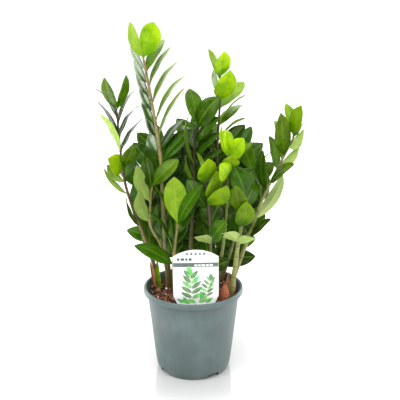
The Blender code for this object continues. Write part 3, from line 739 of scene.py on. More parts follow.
def crumb_material(name, colours, roughness, relief_size):
    """Loose bits: each bit has its own tint, mottled inside, with a rough surface."""
    finish = Finish(name)
    chance = finish.attribute("bit_look").split("ShaderNodeSeparateColor")[0]
    mottle = finish.noise(420.0, 5.0, 0.7)
    fibre = finish.noise(900.0, place=finish.place((1.0, 1.0, 4.0)))
    ramp = finish.add("ShaderNodeValToRGB", {0: chance})
    elements = ramp.socket.node.color_ramp.elements
    elements[0].color = colours[0]
    elements[1].color = colours[-1]
    for i, colour in enumerate(colours[1:-1], 1):
        elements.new(i / (len(colours) - 1)).color = colour
    return finish.done({
        "Base Color": finish.blend(finish.spread(mottle, 0.35, 0.65, 0.55, 0.0), ramp, colours[0]),
        "Roughness": finish.spread(fibre, 0.3, 0.7, roughness - 0.1, roughness),
        "Normal": finish.bump(mottle + fibre * 0.5, relief_size),
    })


def skin_material(name, light, dark, roughness):
    """Dry plant skin with fine lengthwise fibres."""
    finish = Finish(name)
    fibre = finish.noise(900.0, 4.0, 0.65, finish.place((1.0, 1.0, 0.16)))
    patch = finish.noise(160.0, 4.0)
    colour = finish.blend(finish.spread(fibre, 0.35, 0.68), dark, light)
    return finish.done({
        "Base Color": finish.blend(finish.spread(patch, 0.52, 0.72, 0.0, 0.6), colour, dark),
        "Roughness": finish.spread(patch, 0.3, 0.7, roughness - 0.12, roughness),
        "Normal": finish.bump(fibre + patch, 0.0006),
    })


def card_material():
    """Smooth white plastic card with the faintest handling marks."""
    finish = Finish("label_card")
    cloud = finish.noise(45.0)
    return finish.done({
        "Base Color": finish.blend(finish.spread(cloud, 0.3, 0.7), srgb(240, 242, 240), srgb(250, 250, 248)),
        "Roughness": finish.spread(cloud, 0.3, 0.7, 0.28, 0.38),
        "Normal": finish.bump(finish.noise(1200.0, 2.0), 0.00004, 0.4),
    })


def ink_material(name, deep, light):
    """Printed ink with a soft change of tone across the print."""
    finish = Finish(name)
    cloud = finish.noise(130.0)
    dots = finish.spread(finish.noise(2600.0, 1.0), 0.55, 0.75, 0.0, 0.18)
    colour = finish.blend(finish.spread(cloud, 0.35, 0.65), deep, light)
    return finish.done({
        "Base Color": finish.blend(dots, colour, srgb(245, 248, 244)),
        "Roughness": finish.spread(cloud, 0.3, 0.7, 0.30, 0.42),
    })


def floor_material():
    """Smooth pale tabletop that shines only near the pot, where its colour is painted grey as a soft shadow
    round the pot.
    """
    finish = Finish("pale_floor")
    reach = finish.add("ShaderNodeVectorMath", {0: finish.place()}, "Value", operation="LENGTH")
    # near the pot the base colour is painted grey, a painted contact shadow; the same mask sets the shine
    near = finish.spread(reach, 0.08, 0.23, 1.0, 0.0)
    pale = finish.blend(finish.noise(3.0, 2.0), srgb(244, 244, 244), srgb(245, 245, 245))
    return finish.done({
        # painted shadow: the floor colour turns grey round the pot
        "Base Color": finish.blend(near, pale, srgb(195, 195, 195)),
        "Roughness": 0.14,
        "Specular IOR Level": near,
    })


def rounded(points, x):
    """A smooth curve through (position, value) points."""
    for i in range(len(points) - 1):
        if x <= points[i + 1][0]:
            break
    (x1, y1), (x2, y2) = points[i], points[i + 1]
    x0, y0 = points[max(i - 1, 0)]
    x3, y3 = points[min(i + 2, len(points) - 1)]
    span = x2 - x1
    t = (x - x1) / span
    slope1 = (y2 - y0) / max(x2 - x0, 1e-6) * span
    slope2 = (y3 - y1) / max(x3 - x1, 1e-6) * span
    t2, t3 = t * t, t * t * t
    rise = 3 * t2 - 2 * t3
    return (1 - rise) * y1 + (t3 - 2 * t2 + t) * slope1 + rise * y2 + (t3 - t2) * slope2


# ---------------------------------------------------------------- leaflets

LEAF_ROWS = 20
LEAF_ACROSS = 10
OUTLINE = [(0.0, 0.08), (0.04, 0.09), (0.09, 0.24), (0.19, 0.60), (0.32, 0.89), (0.47, 1.0), (0.62, 0.99),
           (0.76, 0.84), (0.87, 0.57), (0.95, 0.26), (1.0, 0.0)]
BLADE_THICKNESS = 0.0008
STALK_THICKNESS = 0.0018
STALK_SHARE = 0.12
RIB_HALF_WIDTH = 0.0011
RIB_DEPTH = 0.00035
KEEL_DEPTH = 0.00070
RIPPLE = 0.0006
DROOP_START = 0.55
LEAF_DROOP = 0.45
LEAF_TWIST = 14.0


def fine_leaf(mesh, placed, look, rng, slots=(0, 1), fold=LEAF_FOLD, sway=0.03):
    """One waxy leaflet: arched, gently folded at a sunken midrib, rolled at the margins."""
    base, (across, along, out), length, width = placed
    width *= rng.uniform(0.96, 1.06)
    arch = LEAF_ARCH + rng.uniform(-0.01, 0.02)
    twist = math.radians(rng.uniform(-LEAF_TWIST, LEAF_TWIST))
    bend = rng.uniform(-sway, sway)
    folded = fold * rng.uniform(0.7, 1.25)
    droop = rng.uniform(0.0, LEAF_DROOP)
    ripple = rng.uniform(0.2, 1.0) * RIPPLE
    phase = rng.uniform(0, math.tau)
    first = len(mesh.points)
    ring = 2 * LEAF_ACROSS
    for j in range(LEAF_ROWS):
        even = j / LEAF_ROWS
        share = 0.72 * even + 0.28 * (0.5 - 0.5 * math.cos(math.pi * even))
        half = max(rounded(OUTLINE, share), 0.02) * width / 2
        half = max(half, PETIOLE_WIDTH / 2 * (1 - share))
        turn = twist * (share - 0.5)
        side = across * math.cos(turn) + out * math.sin(turn)
        lift = out * math.cos(turn) - across * math.sin(turn)
        middle = base + along * (share * length) + out * (arch * length * 4 * share * (1 - share))
        middle += across * (bend * length * math.sin(math.pi * share))
        middle -= out * (droop * length * max(share - DROOP_START, 0.0) ** 2)
        stalk = max(0.0, 1.0 - share / STALK_SHARE)
        for k in range(ring):
            upper = k <= LEAF_ACROSS
            step = k if upper else ring - k
            x = math.sin((step / LEAF_ACROSS - 0.5) * math.pi * 0.98) / math.sin(0.49 * math.pi)
            spine = math.exp(-(x * half / RIB_HALF_WIDTH) ** 2)
            thick = BLADE_THICKNESS + (STALK_THICKNESS - BLADE_THICKNESS) * stalk
            body = thick / 2 * math.sqrt(max(1.0 - x * x, 0.0)) ** (1.0 if stalk > 0.3 else 0.5)
            height = folded * half * (abs(x) ** 1.4) - 0.16 * half * x ** 4
            height += ripple * math.sin(phase + share * 17 + x) * abs(x) ** 3 * (1 - stalk)
            height *= 1 - stalk
            if upper:
                level = height + body - RIB_DEPTH * spine * (1 - stalk)
            else:
                level = height - body - KEEL_DEPTH * spine * (1 - share)
            mesh.points.append(middle + side * (x * half) + lift * level)
    tip = len(mesh.points)
    mesh.points.append(base + along * length - out * (droop * length * (1 - DROOP_START) ** 2))
    for j in range(LEAF_ROWS):
        low_v, high_v = j / LEAF_ROWS, (j + 1) / LEAF_ROWS
        for k in range(ring):
            after = (k + 1) % ring
            upper = k < LEAF_ACROSS
            u0 = k / LEAF_ACROSS if upper else 2 - k / LEAF_ACROSS
            u1 = (k + 1) / LEAF_ACROSS if upper else 2 - (k + 1) / LEAF_ACROSS
            a, b = first + j * ring + k, first + j * ring + after
            if j < LEAF_ROWS - 1:
                corners = (b, a, a + ring, b + ring)
                uvs = [(u1, low_v), (u0, low_v), (u0, high_v), (u1, high_v)]
            else:
                corners = (b, a, tip)
                uvs = [(u1, low_v), (u0, low_v), ((u0 + u1) / 2, 1.0)]
            mesh.face(corners, slots[0] if upper else slots[1], uvs, look)
    mesh.face(tuple(first + k for k in range(ring)), slots[1], [(0.5, 0.0)] * ring, look)


# ---------------------------------------------------------------- stems

STEM_SIDES = 14
STEM_RINGS = 72
KNUCKLE = 0.10
KNUCKLE_SHARPNESS = 55
WAVER = 0.03
FLUTE = 0.10


def fine_stem(mesh, frond, slot, tints, joints, rng):
    """The petiole: swollen foot, even taper, a slight knuckle where each leaflet leaves it."""
    path = smooth_curve(stem_points(frond), STEM_RINGS)
    path = [path[0] - Vector((0.0, 0.0, STEM_SET * share)) for share in (1.0, 0.4)] + path
    count = len(path)
    first = len(mesh.points)
    side = Vector((1.0, 0.0, 0.0))
    phase = rng.uniform(0, math.tau)
    for i, centre in enumerate(path):
        ahead = (path[min(i + 1, count - 1)] - path[max(i - 1, 0)]).normalized()
        side = (side - ahead * side.dot(ahead)).normalized()
        other = ahead.cross(side)
        share = max(i - 2, 0) / (STEM_RINGS - 1)
        radius = stem_radius(frond, share)
        if i == 0:
            radius *= 0.6
        swell = sum(math.exp(-((share - joint) * KNUCKLE_SHARPNESS) ** 2) for joint in joints)
        radius *= (1 + KNUCKLE * min(swell, 1.0)) * (1 + WAVER * math.sin(phase + share * 60))
        if i == count - 1:
            radius *= 0.55
        for k in range(STEM_SIDES):
            angle = math.tau * k / STEM_SIDES
            flat = 1 - FLUTE * max(0.0, math.sin(angle)) * share
            mesh.points.append(centre + (side * math.cos(angle) + other * math.sin(angle)) * radius * flat)
    for i in range(count - 1):
        low, high = i / (count - 1), (i + 1) / (count - 1)
        low_tint, high_tint = tint_along(tints, low), tint_along(tints, high)
        for k in range(STEM_SIDES):
            after = (k + 1) % STEM_SIDES
            a, b = first + i * STEM_SIDES + k, first + i * STEM_SIDES + after
            corners = (a, b, b + STEM_SIDES, a + STEM_SIDES)
            u0, u1 = k / STEM_SIDES, (k + 1) / STEM_SIDES
            mesh.face(corners, slot, [(u0, low), (u1, low), (u1, high), (u0, high)],
                      tints=[low_tint, low_tint, high_tint, high_tint])
    end = first + (count - 1) * STEM_SIDES
    around = range(STEM_SIDES)
    mesh.face(tuple(first + k for k in reversed(around)), slot, tints=[tints[0]] * STEM_SIDES)
    mesh.face(tuple(end + k for k in around), slot, tints=[tints[-1]] * STEM_SIDES)


def tint_along(tints, share):
    """The stem's colour at a share of its length."""
    spot = share * (len(tints) - 1)
    low = min(int(spot), len(tints) - 2)
    return tuple(a + (b - a) * (spot - low) for a, b in zip(tints[low], tints[low + 1]))


# Stem tints from foot to tip
OLIVE_TAN = [srgb(96, 80, 44), srgb(116, 112, 58), srgb(140, 132, 72), srgb(150, 134, 82), srgb(138, 112, 70)]
PURPLE = [srgb(100, 76, 44), srgb(118, 108, 56), srgb(112, 88, 62), srgb(88, 58, 50), srgb(66, 42, 40)]
GREEN = [srgb(110, 96, 48), srgb(132, 138, 62), srgb(140, 148, 74), srgb(142, 136, 78), srgb(130, 110, 74)]
STEM_TINTS = {
    "frond_centre_tall": PURPLE, "frond_centre": PURPLE, "frond_left": PURPLE,
    "frond_thick": GREEN, "frond_right": GREEN, "frond_young": GREEN, "frond_front_right": PURPLE,
}

# How young a frond's leaflets look: from how many percent of its stem on, and how young (0 to 1) at its tip
YOUTH = {
    "frond_tall_left": (97, 0.85), "frond_left": (99, 0.12), "frond_centre": (99, 0.12),
    "frond_centre_tall": (70, 0.9), "frond_young": (88, 1.0), "frond_right": (99, 0.40),
    "frond_right_rear": (98, 0.1), "frond_thick": (99, 0.0), "frond_front_right": (90, 0.60),
    "frond_front_left": (99, 0.40), "frond_pale_left": (99, 0.10),
}

# Rows of leaflets that look otherwise, by where they sit: youth, and how pale the blade is
ROW_LOOKS = {
    "frond_tall_left": {94: (0.3, 0.05), (88, 66): (0.45, 0.1), (95, 66): (0.0, 0.0)},
    "frond_left": {78: (0.75, 0.25), 69: (0.62, 0.0), 70: (0.15, 0.0), 62: (0.55, 0.3), 55: (0.6, 0.35)},
    "frond_centre_tall": {98: (0.5, 0.0), 92: (0.25, 0.0), 89: (0.8, 0.0), 85: (0.5, 0.1),
        (78, 70): (0.1, 0.0)},
    "frond_young": {91: (0.3, 0.0), 84: (0.8, 0.0)},
    "frond_right": {98: (0.7, 0.1), 93: (0.6, 0.45), 81: (0.5, 0.4), 70: (0.12, 0.0), 46: (0.9, 1.0),
        88: (0.16, 0.0), 85: (0.14, 0.0)},
    "frond_thick": {84: (0.2, 0.0), 70: (0.22, 0.0), 55: (0.4, 0.55), 53: (0.45, 0.45)},
    "frond_front_right": {98: (0.45, 0.0), 86: (0.46, 0.0), 80: (0.4, 0.0), 46: (0.4, 0.55)},
    "frond_front_left": {99: (0.02, 0.0)},
    "frond_pale_left": {86: (0.2, 0.28), 68: (0.2, 0.28)},
}


def leaf_look(name, row, where, rng):
    """Youth, chance and paleness of a leaflet."""
    start, strength = YOUTH.get(name, (99, 0.0))
    share = max(0.0, (where - start) / (100 - start))
    youth, pale = ROW_LOOKS.get(name, {}).get(row[0], (strength * share ** 0.6, 0.0))
    return min(1.0, youth + rng.uniform(0.0, 0.08)), rng.random(), pale


def build_fronds(materials):
    """Each frond's fine leaflets and stem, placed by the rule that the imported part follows."""
    crowd = Crowd()
    for name in ("pot", "plant_label", "rhizome_tip"):
        crowd.add_mesh(frame["nodes"][name].data, name)
    for frond in FRONDS:
        crowd.add_mesh(stem_mesh(frond, LEAF_MARGIN), frond[0] + " stem")
    for number, frond in enumerate(FRONDS):
        rng = random.Random(100 + number)
        path = smooth_curve(stem_points(frond), STEM_POINTS)
        mesh = Mesh()
        joints = []
        for row in frond[4]:
            for wish in row_leaves(row):
                placed = place_leaf(crowd, frond, path, wish)
                if placed:
                    fine_leaf(mesh, placed, leaf_look(frond[0], row, wish[0], rng), rng)
                    joints.append(wish[0] / 100)
        fine_stem(mesh, frond, 2, STEM_TINTS.get(frond[0], OLIVE_TAN), joints, rng)
        obj = mesh.build(frond[0] + "_grown", materials, "leaf_look", "blade", "stem_tint")
        place_piece(obj, frond[0])


def build_blades(leaf_materials, papery):
    """The papery sheaths and the young shoot, standing in the soil."""
    for number, (name, (x, y), heading, climb, length, width, face) in enumerate(BLADES):
        rng = random.Random(300 + number)
        axes = blade_frame(heading, climb, face)
        base = Vector((x * MM, y * MM, SOIL_TOP)) - axes[1] * SHEATH_SET
        placed = (base, axes, length * MM + SHEATH_SET, width * MM)
        mesh = Mesh()
        young = name == "young_shoot"
        slots, fold = ((0, 1), 0.7) if young else ((0, 0), 1.1)
        fine_leaf(mesh, placed, (0.55, 0.5, 0.0), rng, slots, fold, 0.01)
        obj = mesh.build(name + "_fine", leaf_materials if young else [papery], "leaf_look", "blade")
        place_piece(obj, name)


# ---------------------------------------------------------------- pot

def arc(centre, radius, start, end, steps):
    """Profile points on an arc, with its ends in degrees."""
    angles = [math.radians(start + (end - start) * i / steps) for i in range(steps + 1)]
    return [(centre[0] + radius * math.cos(a), centre[1] + radius * math.sin(a)) for a in angles]


def lathe(name, profile, sides, materials):
    """A closed solid from a profile that starts and ends on the axis, ordered down its outer side."""
    mesh = Mesh()
    rings = profile[1:-1]
    for radius, height in rings:
        mesh.points.extend(circle(radius, height, sides))
    top = len(mesh.points)
    mesh.points.append(Vector((0.0, 0.0, profile[0][1])))
    mesh.points.append(Vector((0.0, 0.0, profile[-1][1])))
    last = (len(rings) - 1) * sides
    for k in range(sides):
        after = (k + 1) % sides
        mesh.face((top, k, after))
        mesh.face((top + 1, last + after, last + k))
        for i in range(len(rings) - 1):
            mesh.face((i * sides + k, (i + 1) * sides + k, (i + 1) * sides + after, i * sides + after))
    return mesh.build(name, materials, sharp=POT_SHARP)


def fine_pot_profile():
    """The pot's section: floor, inside, rolled lip, wall, foot ring and raised disc, with eased corners."""
    lip, flare = POT_RADIUS, POT_HEIGHT - LIP_HEIGHT
    roll = (lip - MOUTH_RADIUS) / 2
    crown = (lip - roll, POT_HEIGHT - roll)
    under = CHANNEL_HEIGHT
    top = under + FLOOR_THICKNESS
    foot = FOOT_RADIUS - FOOT_STEP
    skirt = 0.0006
    lip_inside = lip - LIP_THICKNESS
    lip_roof = crown[1] - LIP_THICKNESS
    wall_steps = [flare - 0.004 - i * (flare - 0.004 - CORNER_HEIGHT) / 10 for i in range(11)]
    corner = [CORNER_HEIGHT - i * (CORNER_HEIGHT - under - 0.001) / 6 for i in range(1, 7)]
    inside = [top + i * (flare - top) / 8 for i in range(9)]
    return [
        (0.0, FLOOR_THICKNESS),
        (DISC_RADIUS - 0.001, FLOOR_THICKNESS),
        (DISC_RADIUS, FLOOR_THICKNESS + 0.0006),
        (DISC_RADIUS + 0.0016, top - 0.0006),
        (DISC_RADIUS + 0.0026, top),
        (inner_radius(top) - 0.0015, top),
        *[(inner_radius(h), h) for h in inside],
        *arc(crown, roll, 180.0, 20.0, 14),
        *arc((lip - skirt, crown[1] - 2 * skirt), skirt, 20.0, 0.0, 3),
        (lip, flare + skirt),
        *arc((lip - skirt, flare + skirt), skirt, -20.0, -90.0, 4),
        (lip_inside + 0.0003, flare),
        (lip_inside, flare + 0.0004),
        (lip_inside, lip_roof - 0.0005),
        (lip_inside - 0.0006, lip_roof),
        (BODY_RADIUS + 0.0012, lip_roof),
        (BODY_RADIUS + 0.0006, lip_roof - 0.0008),
        *[(wall_radius(h), h) for h in wall_steps + corner],
        (foot + 0.0002, under + 0.0004),
        (foot, under - 0.0002),
        (foot - 0.0004, 0.0007),
        *arc((foot - 0.0011, 0.0007), 0.0007, 0.0, -90.0, 4),
        (foot - WALL - 0.0002, 0.0),
        (foot - WALL - 0.0004, 0.0004),
        (foot - WALL, under - 0.0004),
        (foot - WALL - 0.0006, under),
        (DISC_RADIUS + 0.0040, under),
        (DISC_RADIUS + 0.0034, under - 0.0006),
        (DISC_RADIUS + 0.0020, 0.0005),
        (DISC_RADIUS + 0.0012, 0.0),
        (0.0, 0.0),
    ]


def cut(obj, make, turn):
    """Cuts a shape that a function makes, turned round the pot's axis, out of the piece."""
    work = bmesh.new()
    make(work)
    bmesh.ops.transform(work, matrix=Matrix.Rotation(turn, 4, "Z"), verts=work.verts)
    cutter = new_object("cutter", mesh_from(work, "cutter"))
    modifier = obj.modifiers.new("cut", "BOOLEAN")
    modifier.operation = "DIFFERENCE"
    modifier.solver = "EXACT"
    modifier.object = cutter
    result = evaluated_mesh(obj)
    obj.modifiers.clear()
    obj.data = result
    bpy.data.objects.remove(cutter, do_unlink=True)


def foot_notch(work):
    """The notch through the foot ring, with rounded upper corners."""
    size = Matrix.Diagonal((NOTCH_DEPTH, NOTCH_WIDTH, 2 * CHANNEL_HEIGHT - 0.001, 1.0))
    bmesh.ops.create_cube(work, size=1.0, matrix=Matrix.Translation((FOOT_RADIUS, 0.0, 0.0)) @ size)
    upper = [edge for edge in work.edges
             if all(vert.co.z > 0 for vert in edge.verts)
             and abs(edge.verts[0].co.x - edge.verts[1].co.x) > NOTCH_DEPTH / 2]
    bmesh.ops.bevel(work, geom=upper, offset=NOTCH_CORNER, segments=4, profile=0.5, affect="EDGES")


def drain_hole(work):
    """The round hole behind a notch."""
    place = Matrix.Translation((FOOT_RADIUS - DRAIN_INSET, 0.0, CHANNEL_HEIGHT))
    bmesh.ops.create_cone(work, cap_ends=True, segments=32, radius1=DRAIN_RADIUS, radius2=DRAIN_RADIUS,
                          depth=4 * FLOOR_THICKNESS, matrix=place)


def build_pot():
    """The moulded pot with its notches and drain holes."""
    pot = lathe("nursery_pot", fine_pot_profile(), POT_SIDES, [pot_material()])
    for i in range(NOTCH_COUNT):
        turn = NOTCH_TURN + i * math.tau / NOTCH_COUNT
        cut(pot, foot_notch, turn)
        cut(pot, drain_hole, turn)
    pot.data.shade_smooth()
    pot.data.set_sharp_from_angle(angle=math.radians(POT_SHARP))
    place_piece(pot, "pot")


# ---------------------------------------------------------------- soil

SOIL_RINGS = 46
SOIL_SPOKES = 150
SOIL_GAP = 0.0004
SOIL_HOLLOW = 0.0032
SOIL_DISH = 0.0010
COARSE_RELIEF = 0.0022
FINE_RELIEF = 0.0010
SOIL_TINTS = 97
BARK_COUNT = 620
PERLITE_COUNT = 90


def soil_height(x, y):
    """Uneven top of the medium, a little lower towards the wall."""
    place = Vector((x, y, 0.0))
    reach = place.length / inner_radius(SOIL_TOP)
    coarse = noise.noise(place * 70.0) * COARSE_RELIEF
    fine = noise.noise(place * 260.0) * FINE_RELIEF
    return SOIL_TOP - SOIL_HOLLOW + coarse + fine - SOIL_DISH * reach * reach


def build_soil(material):
    """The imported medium: uneven top, smooth sides and underside inside the pot."""
    mesh = Mesh()
    edge = inner_radius(SOIL_TOP - 0.003) - SOIL_GAP
    mesh.points.append(Vector((0.0, 0.0, soil_height(0.0, 0.0))))
    for i in range(1, SOIL_RINGS + 1):
        for x, y, _ in circle(edge * i / SOIL_RINGS, 0.0, SOIL_SPOKES):
            mesh.points.append(Vector((x, y, soil_height(x, y))))
    floor = CHANNEL_HEIGHT + FLOOR_THICKNESS + 0.0003
    lower = [(inner_radius(0.07) - SOIL_GAP, 0.07), (inner_radius(floor) - SOIL_GAP, floor),
             (DISC_RADIUS + 0.0016, floor), (DISC_RADIUS - 0.0014, FLOOR_THICKNESS + 0.0004)]
    for radius, height in lower:
        mesh.points.extend(circle(radius, height, SOIL_SPOKES))
    rng = random.Random(7)
    looks = [(rng.random() * 0.5, 0.0, 0.0) for _ in range(SOIL_TINTS)]
    for k in range(SOIL_SPOKES):
        after = (k + 1) % SOIL_SPOKES
        mesh.face((0, 1 + k, 1 + after), look=looks[0])
        for i in range(SOIL_RINGS + len(lower) - 1):
            a, b = 1 + i * SOIL_SPOKES, 1 + (i + 1) * SOIL_SPOKES
            mesh.face((a + k, b + k, b + after, a + after), look=looks[(i * 31 + k * 7) % SOIL_TINTS])
    last = 1 + (SOIL_RINGS + len(lower) - 1) * SOIL_SPOKES
    mesh.face(tuple(last + SOIL_SPOKES - 1 - k for k in range(SOIL_SPOKES)), look=looks[1])
    obj = mesh.build("packed_soil", [material], "bit_look")
    place_piece(obj, "soil")


def bit_shape():
    """Points and faces of a small faceted lump."""
    work = bmesh.new()
    bmesh.ops.create_icosphere(work, subdivisions=2, radius=1.0)
    points = [vert.co.copy() for vert in work.verts]
    faces = [tuple(vert.index for vert in face.verts) for face in work.faces]
    work.free()
    return points, faces


def scatter_bits(name, count, seed, sizes, flatness, material, lump, sink):
    """Loose bits strewn over the soil, clear of the pot's wall and of the card."""
    rng = random.Random(seed)
    lumps, faces = bit_shape()
    mesh = Mesh()
    rim = inner_radius(SOIL_TOP)
    made = 0
    while made < count:
        angle = rng.uniform(0, math.tau)
        radius = rim * math.sqrt(rng.random())
        size = rng.uniform(*sizes) * (0.65 + 0.35 * rng.random())
        x, y = radius * math.cos(angle), radius * math.sin(angle)
        if radius + size * 0.8 > rim - 0.0008:
            continue
        if LABEL_LOW.x - size < x < LABEL_HIGH.x + size and abs(y - LABEL_LOW.y) < size * 0.8:
            continue
        shape = Vector((rng.uniform(0.7, 1.0), rng.uniform(0.45, 0.85), rng.uniform(*flatness)))
        tilt = Matrix.Rotation(rng.uniform(0, math.tau), 3, "Z") @ Matrix.Rotation(rng.gauss(0, 0.45), 3, "X")
        tilt = tilt @ Matrix.Rotation(rng.gauss(0, 0.45), 3, "Y")
        shift = Vector((rng.uniform(-9, 9), rng.uniform(-9, 9), rng.uniform(-9, 9)))
        centre = Vector((x, y, soil_height(x, y) + size * shape.z * rng.uniform(*sink)))
        first = len(mesh.points)
        for point in lumps:
            rough = 1 + lump * noise.noise(point * 1.6 + shift)
            local = Vector((point.x * shape.x, point.y * shape.y, point.z * shape.z)) * (size * rough)
            mesh.points.append(centre + tilt @ local)
        look = (rng.random(), 0.0, 0.0)
        for face in faces:
            mesh.face(tuple(first + i for i in face), look=look)
        made += 1
    obj = mesh.build(name, [material], "bit_look", sharp=38)
    place_piece(obj, None)


# ---------------------------------------------------------------- label

CARD_MIDDLE = (LABEL_LOW.x + LABEL_HIGH.x) / 2
CARD_FRONT = LABEL_LOW.y
CARD_BACK = LABEL_HIGH.y
CARD_HALF = (LABEL_HIGH.x - LABEL_LOW.x) / 2
CARD_TOP = LABEL_HIGH.z - SOIL_TOP
CARD_ARCH = 0.012
CARD_CHAMFER = 0.007
CARD_NECK = 0.015
STAKE_WIDTH = 0.022
PRINT_LIFT = 0.00006
STALK_INK = 4
PRINT_STALK = 0.0003
PRINT_RIB = 0.00022
DOT_RADIUS = 0.0019
DOT_HEIGHT = 0.0893
CARD_TURN = math.radians(0.9)
CARD_BOW = 0.0016
CARD_LEAN = 0.0022
ARCH_STEPS = 40

# Rows of the print, lower and upper edge above the soil
BAND_ROW = (0.0665, 0.0738)
BAND_DASH_ROW = (0.0677, 0.0711)
DASH_ROW = (0.0777, 0.0819)


def card_point(u, v, lift):
    """A point on the card: u across from its middle, v up from the soil, lift in front of its face."""
    bow = CARD_BOW * (1 - (u / CARD_HALF) ** 2) + CARD_LEAN * max(v, 0.0) / CARD_TOP
    x = CARD_MIDDLE + u * math.cos(CARD_TURN) - v * math.sin(CARD_TURN) * 0.5
    z = SOIL_TOP + v + u * math.sin(CARD_TURN)
    return Vector((x, CARD_FRONT + 0.0022 - bow * 0.6 - lift, z))


def card_edge():
    """The card's outline, from the right shoulder over the arch and down round the stake."""
    shoulder = CARD_TOP - CARD_ARCH
    radius = (CARD_HALF ** 2 + CARD_ARCH ** 2) / (2 * CARD_ARCH)
    spread_angle = math.asin(CARD_HALF / radius)
    centre = CARD_TOP - radius
    arch = []
    for i in range(ARCH_STEPS + 1):
        angle = spread_angle * (1 - 2 * i / ARCH_STEPS)
        arch.append((radius * math.sin(angle), centre + radius * math.cos(angle)))
    stake = STAKE_WIDTH / 2
    tip = LABEL_LOW.z - SOIL_TOP
    left = [(-CARD_HALF, shoulder - i * (shoulder - CARD_NECK) / 8) for i in range(1, 9)]
    left += [(-CARD_HALF + CARD_CHAMFER, 0.0), (-stake, -0.006), (-stake, tip + 0.012), (-stake + 0.008, tip)]
    return arch + left + [(-u, v) for u, v in reversed(left)]


def flat_patch(mesh, outline, lift, slot):
    """A printed patch on the card: a fan of faces that follows the card's bow."""
    middle_u = sum(u for u, _ in outline) / len(outline)
    middle_v = sum(v for _, v in outline) / len(outline)
    first = len(mesh.points)
    mesh.points.append(card_point(middle_u, middle_v, lift))
    mesh.points.extend(card_point(u, v, lift) for u, v in outline)
    count = len(outline)
    for k in range(count):
        mesh.face((first, first + 1 + k, first + 1 + (k + 1) % count), slot)


def print_bar(mesh, u0, u1, row, lift, slot, steps=24):
    """A printed bar, in short lengths so that it follows the bow."""
    first = len(mesh.points)
    for i in range(steps + 1):
        u = u0 + (u1 - u0) * i / steps
        mesh.points.extend(card_point(u, v, lift) for v in row)
    for i in range(steps):
        a = first + 2 * i
        mesh.face((a, a + 2, a + 3, a + 1), slot)


def print_dashes(mesh, start, lengths, gap, row, lift, slot):
    """A row of printed dashes."""
    for length in lengths:
        print_bar(mesh, start, start + length, row, lift, slot, 4)
        start += length + gap


def print_leaf(mesh, u, v, angle, length, width, slot):
    """A pointed leaf of the printed picture, with its pale midrib."""
    outline = []
    steps = 9
    direction = (math.cos(angle), math.sin(angle))
    for side in (1, -1):
        order = range(steps + 1) if side == 1 else range(steps - 1, 0, -1)
        for i in order:
            share = i / steps
            half = width / 2 * math.sin(math.pi * share ** 0.85) ** 0.8 * side if 0 < share < 1 else 0.0
            outline.append((u + direction[0] * share * length + direction[1] * half,
                            v + direction[1] * share * length - direction[0] * half))
    flat_patch(mesh, list(reversed(outline)), PRINT_LIFT * 2, slot)
    near, far = [(u + direction[0] * length * s, v + direction[1] * length * s) for s in (0.02, 0.9)]
    side = (direction[1] * PRINT_RIB, direction[0] * PRINT_RIB)
    corners = [(near[0] + side[0], near[1] - side[1]), far, (near[0] - side[0], near[1] + side[1])]
    flat_patch(mesh, corners, PRINT_LIFT * 3, STALK_INK)


def print_frond(mesh, foot, lean, height, pairs, leaf, slots):
    """A printed frond: a stalk with leaf pairs that shorten towards the top, and one end leaf."""
    foot_u, foot_v = foot
    for i in range(12):
        s0, s1 = i / 12, (i + 1) / 12
        a = (foot_u + lean * s0 * s0, foot_v + height * s0)
        b = (foot_u + lean * s1 * s1, foot_v + height * s1)
        piece = [(a[0] - PRINT_STALK, a[1]), (a[0] + PRINT_STALK, a[1]),
                 (b[0] + PRINT_STALK, b[1]), (b[0] - PRINT_STALK, b[1])]
        flat_patch(mesh, piece, PRINT_LIFT * 3, STALK_INK)
    for i in range(pairs):
        share = 0.12 + 0.80 * i / max(pairs - 1, 1)
        u, v = foot_u + lean * share * share, foot_v + height * share
        size = leaf * (1.0 - 0.22 * abs(share - 0.4))
        rise = math.radians(24 + 30 * share)
        print_leaf(mesh, u, v, rise, size, size * 0.34, slots[i % len(slots)])
        print_leaf(mesh, u, v + 0.0012, math.pi - rise, size, size * 0.34, slots[(i + 1) % len(slots)])
    print_leaf(mesh, foot_u + lean, foot_v + height, math.radians(100), leaf * 0.95, leaf * 0.5, slots[0])


def build_label(card):
    """The card with its stake, bowed a little, with soft edges."""
    edge = card_edge()
    mesh = Mesh()
    count = len(edge)
    thickness = (CARD_BACK - CARD_FRONT) * 0.8
    for lift in (0.0, -thickness):
        mesh.points.extend(card_point(u, v, lift) for u, v in edge)
    for k in range(count):
        after = (k + 1) % count
        mesh.face((k, k + count, after + count, after))
    mesh.face(tuple(reversed(range(count))))
    mesh.face(tuple(range(count, 2 * count)))
    body = mesh.build("label_card_fine", [card], sharp=40)
    modifier = body.modifiers.new("soft_edge", "BEVEL")
    modifier.width = 0.00018
    modifier.segments = 2
    modifier.limit_method = "ANGLE"
    modifier.angle_limit = math.radians(50)
    place_piece(body, "plant_label")


